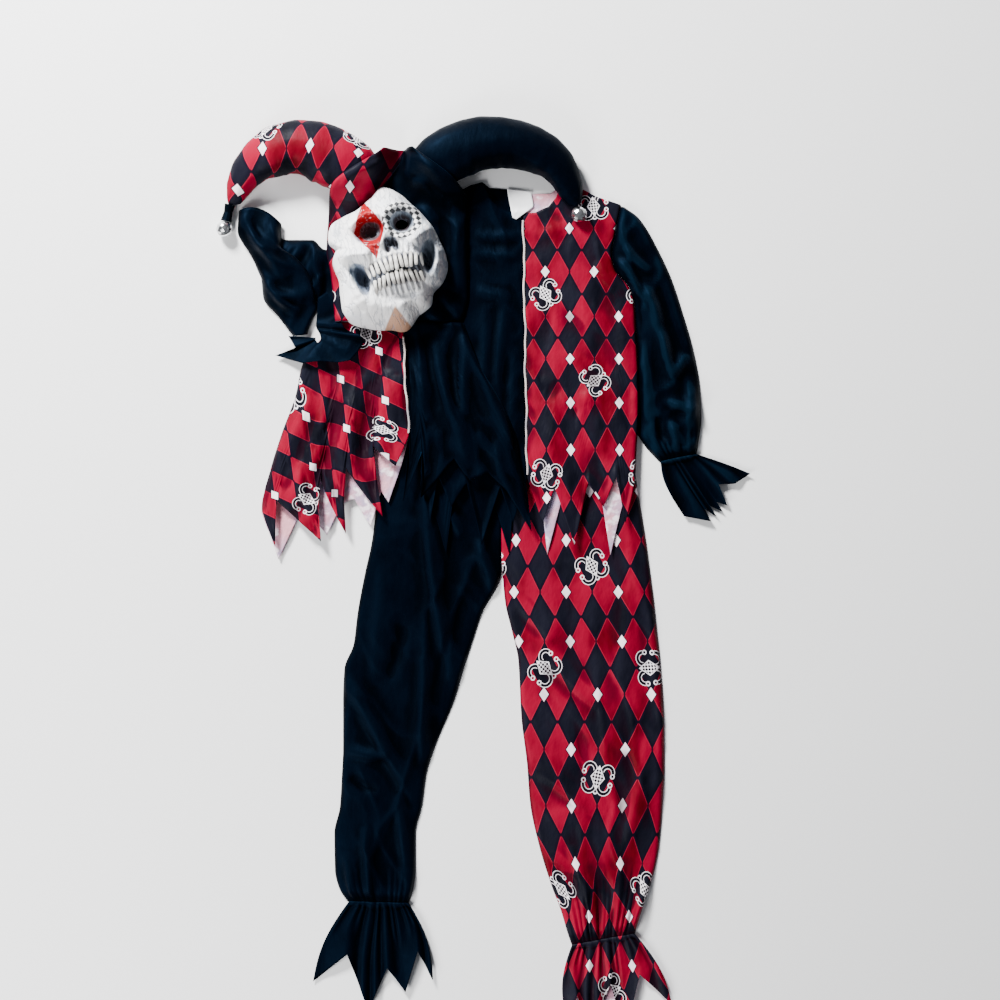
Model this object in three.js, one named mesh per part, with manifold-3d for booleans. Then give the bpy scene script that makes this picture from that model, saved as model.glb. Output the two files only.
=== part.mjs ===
// A jester costume laid out flat: tunic over trousers, and a horned hood with its cape and skull mask.
// Millimetres. +X to the right of the layout, +Y towards the hood, +Z up, the floor at z = 0.
// The origin lies on the floor under the middle of the whole layout.
import * as THREE from "three";
import { mergeVertices } from "three/addons/utils/BufferGeometryUtils.js";
import Module from "manifold-3d";

// Cloth walls and the way they lie on each other
const CLOTH = 1.5;
const PLY_GAP = 0.4;
const PLY = CLOTH + PLY_GAP;
const TWO_PLIES = 2 * PLY;
const SLACK = 0.9;
const SEAM = 0.3;
const TAPE_WIDTH = 5;
const TAPE_THICKNESS = 0.8;

// Trousers: waist, and the gathers at the ankles
const WAIST_Y = 109;
const ANKLE_GATHERS = 6;
const ANKLE_GATHER_HEIGHT = 1.6;
const ANKLE_GATHER_REACH = 55;

// Tunic: the centre front leans a little over its length
const TUNIC_CENTRE_TOP_X = 37;
const TUNIC_CENTRE_LEAN = 0.015;
const TUNIC_NECK_Y = 458;
const TAPE_END_Y = 44;

// Hood, cape and mask
const HOOD_CENTRE_X = -155;
const NECK_SEAM_Y = 284;
const FACE_OPENING = { x: -179, y: 384, halfWidth: 66, halfHeight: 88 };
const MASK_CENTRE = { x: -179, y: 381 };
const MASK_TILT = THREE.MathUtils.degToRad(15);
const MASK_RELIEF = 74;
const MASK_WALL = 2.4;
const MASK_RIM_Z = 2 * TWO_PLIES + SLACK + 0.2;

// Bells
const BELL_RADIUS = 13;

// Each row of a leg gives the left and right edge of the cloth at the height y.
const BLACK_LEG = [
  { y: 109, left: -166, right: 2 },
  { y: 48, left: -184, right: 2 },
  { y: -10, left: -197, right: 2 },
  { y: -72, left: -206, right: 2 },
  { y: -117, left: -216, right: 2 },
  { y: -182, left: -228, right: -29 },
  { y: -230, left: -234, right: -45 },
  { y: -270, left: -249, right: -58 },
  { y: -320, left: -251, right: -73 },
  { y: -395, left: -251, right: -104 },
  { y: -440, left: -253, right: -118 },
  { y: -490, left: -256, right: -125 },
  { y: -533, left: -265, right: -135 },
  { y: -592, left: -264, right: -135 },
  { y: -619, left: -258, right: -138 },
  { y: -646, left: -241, right: -146 },
];
const HARLEQUIN_LEG = [
  { y: 109, left: 2, right: 208 },
  { y: 46, left: 2, right: 216 },
  { y: 5, left: 2, right: 222 },
  { y: -72, left: 2, right: 234 },
  { y: -117, left: 4, right: 240 },
  { y: -163, left: 8, right: 246 },
  { y: -210, left: 19, right: 251 },
  { y: -256, left: 29, right: 256 },
  { y: -347, left: 34, right: 262 },
  { y: -422, left: 43, right: 263 },
  { y: -485, left: 48, right: 260 },
  { y: -555, left: 63, right: 254 },
  { y: -619, left: 83, right: 240 },
  { y: -656, left: 97, right: 227 },
  { y: -693, left: 108, right: 216 },
  { y: -713, left: 115, right: 213 },
];
const BLACK_ANKLE = [
  { at: 0, y: -642 },
  { at: 1, y: -645 },
];
const HARLEQUIN_ANKLE = [
  { at: 0, y: -712 },
  { at: 1, y: -694 },
];

// The tunic's right side, from shoulder point down the armhole and side seam.
const TUNIC_SIDE = [
  { y: 509, x: 196 },
  { y: 472, x: 194 },
  { y: 421, x: 188 },
  { y: 390, x: 186 },
  { y: 368, x: 190 },
  { y: 338, x: 210 },
  { y: 322, x: 214 },
  { y: 267, x: 218 },
  { y: 206, x: 221 },
  { y: 130, x: 221 },
  { y: 83, x: 218 },
  { y: 35, x: 216 },
  { y: -90, x: 212 },
];
const TUNIC_FRONT_TOP = [
  { at: 0, y: 458 },
  { at: 0.12, y: 459 },
  { at: 0.26, y: 469 },
  { at: 0.33, y: 482 },
  { at: 0.4, y: 508 },
  { at: 0.52, y: 503 },
  { at: 0.74, y: 485 },
  { at: 1, y: 472 },
];
const TUNIC_BACK_TOP = [
  { at: 0, y: 497 },
  { at: 0.33, y: 499 },
  { at: 0.4, y: 508 },
  { at: 0.52, y: 503 },
  { at: 0.74, y: 485 },
  { at: 1, y: 472 },
];
// Hems: points and notches in turn from the centre out, and how far each point leans.
const TUNIC_FRONT_HEM = [
  { at: 0, lean: 0, y: 35 },
  { at: 0.14, lean: 0, y: -38 },
  { at: 0.25, lean: 0, y: 21 },
  { at: 0.44, lean: 0, y: -72 },
  { at: 0.56, lean: 0, y: 27 },
  { at: 0.71, lean: 0, y: -11 },
  { at: 0.82, lean: 0, y: 37 },
  { at: 0.92, lean: 0, y: -37 },
  { at: 1, lean: 0, y: 35 },
];
const TUNIC_BACK_HEM = [
  { at: 0, lean: 0, y: 35 },
  { at: 0.05, lean: 0, y: -12 },
  { at: 0.16, lean: 0, y: -84 },
  { at: 0.3, lean: 0, y: -10 },
  { at: 0.38, lean: 0, y: 24 },
  { at: 0.48, lean: 0, y: -40 },
  { at: 0.58, lean: 0, y: 30 },
  { at: 0.7, lean: 0, y: -6 },
  { at: 0.78, lean: 0, y: -88 },
  { at: 0.86, lean: 0, y: -20 },
  { at: 0.94, lean: 0, y: 24 },
  { at: 1, lean: 0, y: 32 },
];

// Right sleeve: outer edge from the shoulder to the wrist, and the inner edge near the wrist.
const SLEEVE_OUTER = [
  { y: 469, x: 198 },
  { y: 451, x: 222 },
  { y: 405, x: 250 },
  { y: 353, x: 274 },
  { y: 298, x: 292 },
  { y: 243, x: 308 },
  { y: 175, x: 320 },
  { y: 130, x: 322 },
  { y: 90, x: 317 },
  { y: 59, x: 312 },
];
const SLEEVE_INNER_END = [
  { y: 140, x: 205 },
  { y: 103, x: 221 },
  { y: 83, x: 234 },
  { y: 59, x: 257 },
];
const SLEEVE_TOP = [
  { at: 0, y: 468 },
  { at: 1, y: 468 },
];
const SLEEVE_WRIST = [
  { at: 0, lean: 0, y: 60 },
  { at: 1, lean: 0, y: 72 },
];

// Ruffles: rays from the gathered edge to each point and notch of the rim.
const BLACK_ANKLE_RUFFLE = [
  { rootX: -241, tipX: -299, tipY: -770 },
  { rootX: -221, tipX: -244, tipY: -725 },
  { rootX: -201, tipX: -210, tipY: -816 },
  { rootX: -184, tipX: -180, tipY: -747 },
  { rootX: -169, tipX: -151, tipY: -786 },
  { rootX: -155, tipX: -131, tipY: -720 },
  { rootX: -146, tipX: -107, tipY: -767 },
];
const HARLEQUIN_ANKLE_RUFFLE = [
  { rootX: 115, tipX: 106, tipY: -832 },
  { rootX: 129, tipX: 123, tipY: -790 },
  { rootX: 149, tipX: 147, tipY: -864 },
  { rootX: 171, tipX: 176, tipY: -771 },
  { rootX: 187, tipX: 200, tipY: -856 },
  { rootX: 203, tipX: 223, tipY: -757 },
  { rootX: 215, tipX: 275, tipY: -806 },
];
const HARLEQUIN_ANKLE_RUFFLE_BACK = [
  { rootX: 115, tipX: 111, tipY: -818 },
  { rootX: 133, tipX: 130, tipY: -786 },
  { rootX: 149, tipX: 148, tipY: -846 },
  { rootX: 161, tipX: 162, tipY: -786 },
  { rootX: 173, tipX: 179, tipY: -834 },
  { rootX: 189, tipX: 202, tipY: -776 },
  { rootX: 203, tipX: 226, tipY: -822 },
  { rootX: 215, tipX: 262, tipY: -790 },
];
const RIGHT_WRIST_RUFFLE = [
  { rootX: 257, tipX: 275, tipY: 3 },
  { rootX: 264, tipX: 294, tipY: -26 },
  { rootX: 274, tipX: 337, tipY: -34 },
  { rootX: 279, tipX: 327, tipY: -14 },
  { rootX: 284, tipX: 346, tipY: -27 },
  { rootX: 288, tipX: 335, tipY: -9 },
  { rootX: 293, tipX: 356, tipY: -19 },
  { rootX: 297, tipX: 346, tipY: -3 },
  { rootX: 301, tipX: 363, tipY: -9 },
  { rootX: 306, tipX: 349, tipY: 25 },
  { rootX: 310, tipX: 375, tipY: 26 },
  { rootX: 314, tipX: 400, tipY: 42 },
];
const LEFT_WRIST_RUFFLE = [
  { rootX: -294, rootY: 259, tipX: -338, tipY: 262 },
  { rootX: -294.5, rootY: 257, tipX: -326, tipY: 243 },
  { rootX: -294, rootY: 255, tipX: -359, tipY: 231 },
  { rootX: -292, rootY: 252, tipX: -315, tipY: 218 },
  { rootX: -290, rootY: 251, tipX: -285, tipY: 221 },
  { rootX: -288, rootY: 252, tipX: -256, tipY: 219 },
  { rootX: -286, rootY: 255, tipX: -238, tipY: 222 },
  { rootX: -286, rootY: 260, tipX: -227, tipY: 235 },
  { rootX: -288, rootY: 266, tipX: -216, tipY: 252 },
  { rootX: -292, rootY: 272, tipX: -222, tipY: 262 },
  { rootX: -298, rootY: 278, tipX: -246, tipY: 270 },
];

// Left sleeve, folded at the elbow: each row runs across the sleeve.
const LEFT_UPPER_SLEEVE = [
  { ax: -112, ay: 464, bx: -128, by: 338, bow: 15 },
  { ax: -208, ay: 424, bx: -208, by: 296, bow: 0 },
  { ax: -277, ay: 400, bx: -277, by: 290, bow: 0 },
  { ax: -301, ay: 416, bx: -294, by: 318, bow: 0 },
  { ax: -339, ay: 416, bx: -336, by: 317, bow: 0 },
  { ax: -350, ay: 420, bx: -371, by: 338, bow: 0 },
  { ax: -350, ay: 430, bx: -400, by: 400, bow: 0 },
  { ax: -350, ay: 440, bx: -416, by: 460, bow: 0 },
];
const LEFT_FOREARM = [
  { ax: -417, ay: 462, bx: -349, by: 441, bow: 0 },
  { ax: -419, ay: 429, bx: -350, by: 406, bow: 0 },
  { ax: -397, ay: 389, bx: -326, by: 387, bow: 0 },
  { ax: -381, ay: 352, bx: -304, by: 360, bow: 0 },
  { ax: -378, ay: 322, bx: -295, by: 325, bow: 0 },
  { ax: -354, ay: 293, bx: -291, by: 307, bow: 0 },
  { ax: -334, ay: 269, bx: -301, by: 285, bow: 0 },
];

// Cape: outer edge of each half, and the seam between them.
const CAPE_LEFT_EDGE = [
  { y: 284, x: -262 },
  { y: 250, x: -292 },
  { y: 216, x: -316 },
  { y: 166, x: -327 },
  { y: 109, x: -348 },
  { y: 48, x: -367 },
  { y: -13, x: -381 },
  { y: -110, x: -380 },
];
const CAPE_SEAM = [
  { y: 284, x: -155 },
  { y: 198, x: -151 },
  { y: 112, x: -145 },
  { y: 50, x: -142 },
  { y: -110, x: -142 },
];
const CAPE_RIGHT_EDGE = [
  { y: 284, x: -59 },
  { y: 213, x: -32 },
  { y: 160, x: 0 },
  { y: 90, x: 27 },
  { y: 46, x: 33 },
  { y: 20, x: 43 },
  { y: -50, x: 54 },
];
const CAPE_NECK = [
  { at: 0, y: 283 },
  { at: 1, y: 283 },
];
const CAPE_HARLEQUIN_HEM = [
  { at: 0, lean: 0, y: -16 },
  { at: 0.06, lean: 8, y: -75 },
  { at: 0.1, lean: 0, y: 0 },
  { at: 0.33, lean: 17, y: -66 },
  { at: 0.37, lean: 0, y: 35 },
  { at: 0.5, lean: 16, y: -54 },
  { at: 0.54, lean: 0, y: 50 },
  { at: 0.67, lean: 34, y: -26 },
  { at: 0.72, lean: 0, y: 86 },
  { at: 0.82, lean: 16, y: 54 },
  { at: 1, lean: 0, y: 104 },
];
const CAPE_HARLEQUIN_BACK_HEM = [
  { at: 0, lean: 0, y: -20 },
  { at: 0.11, lean: 0, y: -95 },
  { at: 0.28, lean: 0, y: -10 },
  { at: 0.42, lean: 4, y: -56 },
  { at: 0.54, lean: 0, y: -6 },
  { at: 0.62, lean: 0, y: 2 },
  { at: 0.73, lean: 0, y: -43 },
  { at: 0.8, lean: 0, y: 14 },
  { at: 0.85, lean: 0, y: -4 },
  { at: 1, lean: 0, y: 104 },
];
const CAPE_BLACK_HEM = [
  { at: 0, lean: 0, y: 104 },
  { at: 0.05, lean: -22, y: -3 },
  { at: 0.11, lean: 0, y: 76 },
  { at: 0.18, lean: -18, y: 3 },
  { at: 0.4, lean: 0, y: 66 },
  { at: 0.5, lean: 4, y: 30 },
  { at: 0.7, lean: 0, y: 44 },
  { at: 0.82, lean: 0, y: 14 },
  { at: 0.96, lean: 4, y: -50 },
  { at: 1, lean: 0, y: 18 },
];
const CAPE_BLACK_BACK_HEM = [
  { at: 0, lean: 0, y: 104 },
  { at: 0.14, lean: 0, y: 24 },
  { at: 0.26, lean: 0, y: 72 },
  { at: 0.36, lean: 0, y: 20 },
  { at: 0.46, lean: 0, y: 58 },
  { at: 0.64, lean: 0, y: 24 },
  { at: 0.78, lean: 0, y: 50 },
  { at: 0.92, lean: 0, y: -16 },
  { at: 1, lean: 0, y: 30 },
];

// Hood: outer edges of its two halves. The horns join their slanting upper edges.
const HOOD_LEFT_EDGE = [
  { y: 560, x: -183 },
  { y: 554, x: -190 },
  { y: 491, x: -269 },
  { y: 460, x: -273 },
  { y: 397, x: -277 },
  { y: 366, x: -271 },
  { y: 284, x: -262 },
];
const HOOD_RIGHT_EDGE = [
  { y: 560, x: -140 },
  { y: 501, x: -66 },
  { y: 480, x: -52 },
  { y: 325, x: -50 },
  { y: 284, x: -59 },
];
const HOOD_TOP = [
  { at: 0, y: 558 },
  { at: 1, y: 558 },
];
const HOOD_NECK = [
  { at: 0, lean: 0, y: 284.5 },
  { at: 1, lean: 0, y: 284.5 },
];

// Horns: sections along the middle line, from the root on the hood to the tip.
const HARLEQUIN_HORN = [
  { x: -206, y: 505, width: 56, height: 16, lift: 8 },
  { x: -214, y: 511, width: 80, height: 36, lift: 8 },
  { x: -230, y: 523, width: 97, height: 49, lift: 8 },
  { x: -252, y: 538, width: 98, height: 53, lift: 8 },
  { x: -272, y: 550, width: 95, height: 59, lift: 1 },
  { x: -296, y: 560, width: 90, height: 58, lift: 0 },
  { x: -326, y: 564, width: 86, height: 55, lift: 0 },
  { x: -357, y: 557, width: 82, height: 52, lift: 0 },
  { x: -386, y: 541, width: 72, height: 46, lift: 0 },
  { x: -406, y: 522, width: 60, height: 38, lift: 0 },
  { x: -421, y: 500, width: 46, height: 30, lift: 0 },
  { x: -429, y: 481, width: 30, height: 21, lift: 1 },
  { x: -431, y: 472, width: 20, height: 14, lift: 3 },
];
const BLACK_HORN = [
  { x: -128, y: 508, width: 50, height: 16, lift: 8 },
  { x: -122, y: 516, width: 70, height: 34, lift: 8 },
  { x: -112, y: 528, width: 84, height: 44, lift: 8 },
  { x: -98, y: 540, width: 90, height: 50, lift: 8 },
  { x: -78, y: 551, width: 93, height: 59, lift: 1 },
  { x: -53, y: 561, width: 92, height: 59, lift: 0 },
  { x: -27, y: 567, width: 89, height: 57, lift: 0 },
  { x: 2, y: 568, width: 86, height: 55, lift: 0 },
  { x: 27, y: 565, width: 83, height: 53, lift: 0 },
  { x: 52, y: 558, width: 80, height: 51, lift: 0 },
  { x: 75, y: 547, width: 75, height: 46, lift: 2 },
  { x: 93, y: 533, width: 68, height: 40, lift: 4 },
  { x: 107, y: 515, width: 58, height: 34, lift: 4 },
  { x: 117, y: 497, width: 46, height: 29, lift: 4 },
  { x: 123, y: 479, width: 31, height: 21, lift: 4 },
  { x: 125, y: 470, width: 21, height: 15, lift: 5 },
];

// Mask outline: distance from its middle to the rim in each direction.
const MASK_OUTLINE = [
  { angle: 0, reach: 95 },
  { angle: 20, reach: 90 },
  { angle: 40, reach: 91 },
  { angle: 60, reach: 97 },
  { angle: 80, reach: 109 },
  { angle: 100, reach: 109 },
  { angle: 120, reach: 97 },
  { angle: 140, reach: 101 },
  { angle: 160, reach: 99 },
  { angle: 180, reach: 88 },
  { angle: 200, reach: 86 },
  { angle: 220, reach: 98 },
  { angle: 240, reach: 113 },
  { angle: 260, reach: 110 },
  { angle: 280, reach: 112 },
  { angle: 300, reach: 101 },
  { angle: 320, reach: 93 },
  { angle: 340, reach: 95 },
  { angle: 360, reach: 95 },
];
// Swellings and hollows of the skull, in the mask's own tilted frame.
const MASK_FEATURES = [
  { name: "left socket", across: -13, up: 48, wide: 17, tall: 15, height: -20 },
  { name: "right socket", across: 37, up: 48, wide: 16, tall: 15, height: -20 },
  { name: "nose hollow", across: 12, up: 22, wide: 9, tall: 13, height: -11 },
  { name: "left cheekbone", across: -38, up: 20, wide: 22, tall: 14, height: 8 },
  { name: "right cheekbone", across: 60, up: 20, wide: 18, tall: 14, height: 8 },
  { name: "brow", across: 12, up: 72, wide: 50, tall: 9, height: 5 },
  { name: "left temple", across: -62, up: 62, wide: 16, tall: 22, height: -9 },
  { name: "left cheek hollow", across: -50, up: -18, wide: 14, tall: 22, height: -13 },
  { name: "right cheek hollow", across: 70, up: -18, wide: 12, tall: 22, height: -12 },
  { name: "jaws", across: 11, up: -22, wide: 34, tall: 20, height: 9 },
  { name: "chin", across: 8, up: -82, wide: 26, tall: 14, height: 9 },
];
const EYE_HOLES = [
  { across: -13, up: 47, halfWidth: 11, halfHeight: 9 },
  { across: 37, up: 47, halfWidth: 10, halfHeight: 8 },
];
const TEETH_ROWS = [
  { name: "mask_teeth_upper", up: -12, reach: 45, tall: 13, sag: 5, teeth: 9 },
  { name: "mask_teeth_lower", up: -28, reach: 40, tall: 12, sag: 7, teeth: 8 },
];

// Folds that stand up from a panel: a soft ridge from one point to another.
const BLACK_LEG_FOLDS = [
  { x1: -116, y1: -98, x2: -80, y2: -280, wide: 9, height: 3 },
  { x1: -125, y1: -256, x2: -124, y2: -415, wide: 8, height: 2.4 },
  { x1: -245, y1: -288, x2: -136, y2: -480, wide: 10, height: 3 },
  { x1: -240, y1: -405, x2: -184, y2: -408, wide: 9, height: 2.6 },
  { x1: -36, y1: -96, x2: -12, y2: -150, wide: 8, height: 2.6 },
  { x1: -215, y1: -540, x2: -210, y2: -636, wide: 7, height: 2.6 },
];
const HARLEQUIN_LEG_FOLDS = [
  { x1: 80, y1: -255, x2: 150, y2: -330, wide: 9, height: 2.4 },
  { x1: 60, y1: -430, x2: 160, y2: -500, wide: 10, height: 2.6 },
  { x1: 230, y1: -380, x2: 200, y2: -560, wide: 9, height: 2.6 },
  { x1: 110, y1: -560, x2: 150, y2: -660, wide: 8, height: 2.6 },
];
const TUNIC_FOLDS = [
  { x1: 100, y1: 330, x2: 190, y2: 250, wide: 10, height: 1.8 },
  { x1: 70, y1: 150, x2: 180, y2: 170, wide: 10, height: 1.6 },
];
const SLEEVE_FOLDS = [
  { x1: 237, y1: 357, x2: 256, y2: 276, wide: 8, height: 3 },
  { x1: 256, y1: 276, x2: 272, y2: 203, wide: 8, height: 3 },
  { x1: 280, y1: 203, x2: 296, y2: 228, wide: 7, height: 2.4 },
  { x1: 258, y1: 120, x2: 306, y2: 104, wide: 8, height: 2.8 },
];
const FOREARM_FOLDS = [
  { x1: -412, y1: 452, x2: -344, y2: 352, wide: 11, height: 3.2 },
  { x1: -372, y1: 318, x2: -318, y2: 282, wide: 8, height: 2.8 },
];
const CAPE_HARLEQUIN_FOLDS = [
  { x1: -268, y1: 150, x2: -338, y2: -20, wide: 11, height: 3 },
  { x1: -225, y1: 190, x2: -262, y2: 20, wide: 10, height: 3.2 },
  { x1: -180, y1: 200, x2: -196, y2: 20, wide: 9, height: 2.6 },
];
const CAPE_BLACK_FOLDS = [
  { x1: -130, y1: 250, x2: -122, y2: 120, wide: 9, height: 3.2 },
  { x1: -107, y1: 252, x2: -52, y2: 60, wide: 10, height: 3.4 },
  { x1: -58, y1: 262, x2: -58, y2: 130, wide: 8, height: 3 },
  { x1: -48, y1: 240, x2: 20, y2: 90, wide: 10, height: 3 },
];

// Colours of the materials
const KNIT_BLACK = { color: 0x0d1620, roughness: 0.85, metalness: 0 };
const HARLEQUIN_RED = { color: 0xa20a24, roughness: 0.5, metalness: 0 };
const WHITE_TAPE = { color: 0xe6ddd8, roughness: 0.8, metalness: 0 };
const LABEL_WHITE = { color: 0xf2f2f2, roughness: 0.6, metalness: 0 };
const BONE_LATEX = { color: 0xd8d3c8, roughness: 0.55, metalness: 0 };
const BELL_STEEL = { color: 0xc8ccd0, roughness: 0.25, metalness: 1 };

const lerp = THREE.MathUtils.lerp;
const wasm = await Module();
wasm.setup();

// The slope where two stretches meet: level where they turn, so that a curve never overshoots its rows.
function evenSlope(one, other) {
  return one * other <= 0 ? 0 : (2 * one * other) / (one + other);
}

// A value read between the rows of a table. Straight between rows, or eased smoothly through them.
function between(rows, key, value, place, smooth) {
  const rising = rows[rows.length - 1][key] > rows[0][key];
  const sign = rising ? 1 : -1;
  let i = 0;
  while (i < rows.length - 2 && sign * rows[i + 1][key] < sign * place) i += 1;
  const a = rows[i];
  const b = rows[i + 1];
  const t = THREE.MathUtils.clamp((place - a[key]) / (b[key] - a[key]), 0, 1);
  if (!smooth) return lerp(a[value], b[value], t);
  const before = rows[Math.max(i - 1, 0)];
  const after = rows[Math.min(i + 2, rows.length - 1)];
  const span = b[key] - a[key];
  const rate = (from, to) => (from === to ? 0 : (to[value] - from[value]) / (to[key] - from[key]));
  const startSlope = evenSlope(i > 0 ? rate(before, a) : rate(a, b), rate(a, b)) * span;
  const endSlope = evenSlope(rate(a, b), i < rows.length - 2 ? rate(b, after) : rate(a, b)) * span;
  const t2 = t * t;
  const t3 = t2 * t;
  return (
    a[value] * (2 * t3 - 3 * t2 + 1) +
    startSlope * (t3 - 2 * t2 + t) +
    b[value] * (3 * t2 - 2 * t3) +
    endSlope * (t3 - t2)
  );
}

// Rises from 0 at start to 1 at end, level at both.
function ramp(place, start, end) {
  const t = THREE.MathUtils.clamp((place - start) / (end - start), 0, 1);
  return t * t * (3 - 2 * t);
}

// Height of soft ridges at a point: full along each ridge, fading to its ends and sides.
function foldHeight(folds, x, y) {
  let height = 0;
  for (const fold of folds) {
    const dx = fold.x2 - fold.x1;
    const dy = fold.y2 - fold.y1;
    const long = Math.hypot(dx, dy);
    const along = ((x - fold.x1) * dx + (y - fold.y1) * dy) / (long * long);
    if (along <= 0 || along >= 1) continue;
    const aside = ((x - fold.x1) * dy - (y - fold.y1) * dx) / long;
    const ridge = fold.height * Math.exp(-((aside / fold.wide) ** 2));
    height = Math.max(height, ridge * Math.sin(Math.PI * along));
  }
  return height;
}

// What each garment lies on: the top of the cloth under it, with the gap. From where it climbs
// off the floor onto the trousers, the plies lie a little looser.
const climb = (y) => ramp(y, 238, 132);
const loose = (y) => SLACK * ramp(y, 268, 236);
const overTrousers = (x, y) => climb(y) * ramp(x, -300, -200);

function tunicBase(x, y) {
  return TWO_PLIES * climb(y);
}
function tunicFrontBase(x, y) {
  return tunicBase(x, y) + PLY + loose(y);
}
function hoodBase(x, y) {
  return TWO_PLIES * ramp(y, 566, 506);
}
function capeBase(x, y) {
  const offTunic = 1 - ramp(x, -250, -145);
  const offNeck = 1 - ramp(y, 180, NECK_SEAM_Y - 6);
  return TWO_PLIES * (1 - offTunic * offNeck) + TWO_PLIES * overTrousers(x, y) + 2 * loose(y);
}
function capeFrontBase(x, y) {
  return capeBase(x, y) + PLY + SLACK;
}
function leftRuffleBase(x, y) {
  const onCape = ramp(x, -356, -312);
  return (capeFrontBase(x, y) + PLY) * onCape + PLY_GAP * (1 - onCape);
}

// A closed body from points and triangles, turned so that its faces point out.
function closedGeometry(points, triangles) {
  let volume = 0;
  for (let i = 0; i < triangles.length; i += 3) {
    const [a, b, c] = [points[triangles[i]], points[triangles[i + 1]], points[triangles[i + 2]]];
    volume += a[0] * (b[1] * c[2] - b[2] * c[1]);
    volume += a[1] * (b[2] * c[0] - b[0] * c[2]);
    volume += a[2] * (b[0] * c[1] - b[1] * c[0]);
  }
  if (volume < 0) {
    for (let i = 0; i < triangles.length; i += 3) {
      [triangles[i + 1], triangles[i + 2]] = [triangles[i + 2], triangles[i + 1]];
    }
  }
  const geometry = new THREE.BufferGeometry();
  geometry.setAttribute("position", new THREE.Float32BufferAttribute(points.flat(), 3));
  geometry.setIndex(triangles);
  return geometry;
}

// Joins two grids of the same size into a wall: lower and upper faces and the four edges.
function wallBetween(lower, upper) {
  const columns = lower.length;
  const rows = lower[0].length;
  const points = [...lower.flat(), ...upper.flat()];
  const under = (i, j) => i * rows + j;
  const over = (i, j) => columns * rows + i * rows + j;
  const triangles = [];
  const quad = (a, b, c, d) => triangles.push(a, b, c, a, c, d);
  for (let i = 0; i < columns - 1; i += 1) {
    for (let j = 0; j < rows - 1; j += 1) {
      quad(over(i, j), over(i, j + 1), over(i + 1, j + 1), over(i + 1, j));
      quad(under(i, j), under(i + 1, j), under(i + 1, j + 1), under(i, j + 1));
    }
  }
  for (let i = 0; i < columns - 1; i += 1) {
    quad(under(i, 0), over(i, 0), over(i + 1, 0), under(i + 1, 0));
    quad(under(i + 1, rows - 1), over(i + 1, rows - 1), over(i, rows - 1), under(i, rows - 1));
  }
  for (let j = 0; j < rows - 1; j += 1) {
    quad(under(0, j + 1), over(0, j + 1), over(0, j), under(0, j));
    quad(under(columns - 1, j), over(columns - 1, j), over(columns - 1, j + 1), under(columns - 1, j + 1));
  }
  return closedGeometry(points, triangles);
}

// A cloth wall over a grid of plan points [x, y, at, along]; floor gives the height of its underside.
function clothWall(plan, floor, thickness = CLOTH) {
  const lower = plan.map((line) => line.map(([x, y, at, along]) => [x, y, floor(x, y, at, along)]));
  const upper = lower.map((line) => line.map(([x, y, z]) => [x, y, z + thickness]));
  return wallBetween(lower, upper);
}

// Places across a panel: every row of a hem table, with a few steps in between.
function acrossSteps(rows, stepsBetween) {
  const places = [rows[0].at];
  for (let i = 1; i < rows.length; i += 1) {
    for (let k = 1; k <= stepsBetween; k += 1) {
      places.push(lerp(rows[i - 1].at, rows[i].at, k / stepsBetween));
    }
  }
  return places;
}
function evenSteps(count) {
  return Array.from({ length: count + 1 }, (_, i) => i / count);
}

// Plan of a panel bounded by two side curves of y, a top line and a hem with leaning points.
function panelPlan({ left, right, top, hem, across, steps }) {
  return across.map((at) =>
    evenSteps(steps).map((along) => {
      const topY = between(top, "at", "y", at, false);
      const hemY = between(hem, "at", "y", at, false);
      const lean = hem[0].lean === undefined ? 0 : between(hem, "at", "lean", at, false);
      const y = lerp(topY, hemY, along);
      const x = lerp(left(y), right(y), at) + lean * along ** 4;
      return [x, y, at, along];
    }),
  );
}

// Plan of a ruffle: rays from the gathered root to the rim, with waves between the rays.
function rufflePlan(rays, stepsBetween, steps, bulge) {
  const plan = [];
  const last = rays.length - 1;
  for (let k = 0; k <= last * stepsBetween; k += 1) {
    const place = k / stepsBetween;
    const i = Math.min(Math.floor(place), last - 1);
    const t = place - i;
    const [a, b] = [rays[i], rays[i + 1]];
    const root = [lerp(a.rootX, b.rootX, t), lerp(a.rootY, b.rootY, t)];
    const tip = [lerp(a.tipX, b.tipX, t), lerp(a.tipY, b.tipY, t)];
    const at = place / last;
    plan.push(
      evenSteps(steps).map((along) => {
        const out = bulge * Math.sin(Math.PI * along) * (2 * at - 1);
        return [lerp(root[0], tip[0], along) + out, lerp(root[1], tip[1], along), at, along];
      }),
    );
  }
  return plan;
}

// Plan of a sleeve from rows that run across it, smooth along its length.
function sleevePlan(rows, columns, steps) {
  const stations = rows.map((row, i) => ({ ...row, place: i / (rows.length - 1) }));
  const read = (value, place) => between(stations, "place", value, place, true);
  return evenSteps(columns).map((at) =>
    evenSteps(steps).map((along) => {
      const a = [read("ax", along), read("ay", along)];
      const b = [read("bx", along), read("by", along)];
      const bow = read("bow", along) * 4 * at * (1 - at);
      return [lerp(a[0], b[0], at) + bow, lerp(a[1], b[1], at), at, along];
    }),
  );
}

function meshOf(name, geometry, look) {
  const mesh = new THREE.Mesh(geometry, new THREE.MeshStandardMaterial(look));
  mesh.name = name;
  return mesh;
}
function groupOf(...meshes) {
  const group = new THREE.Group();
  group.add(...meshes);
  return group;
}

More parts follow.
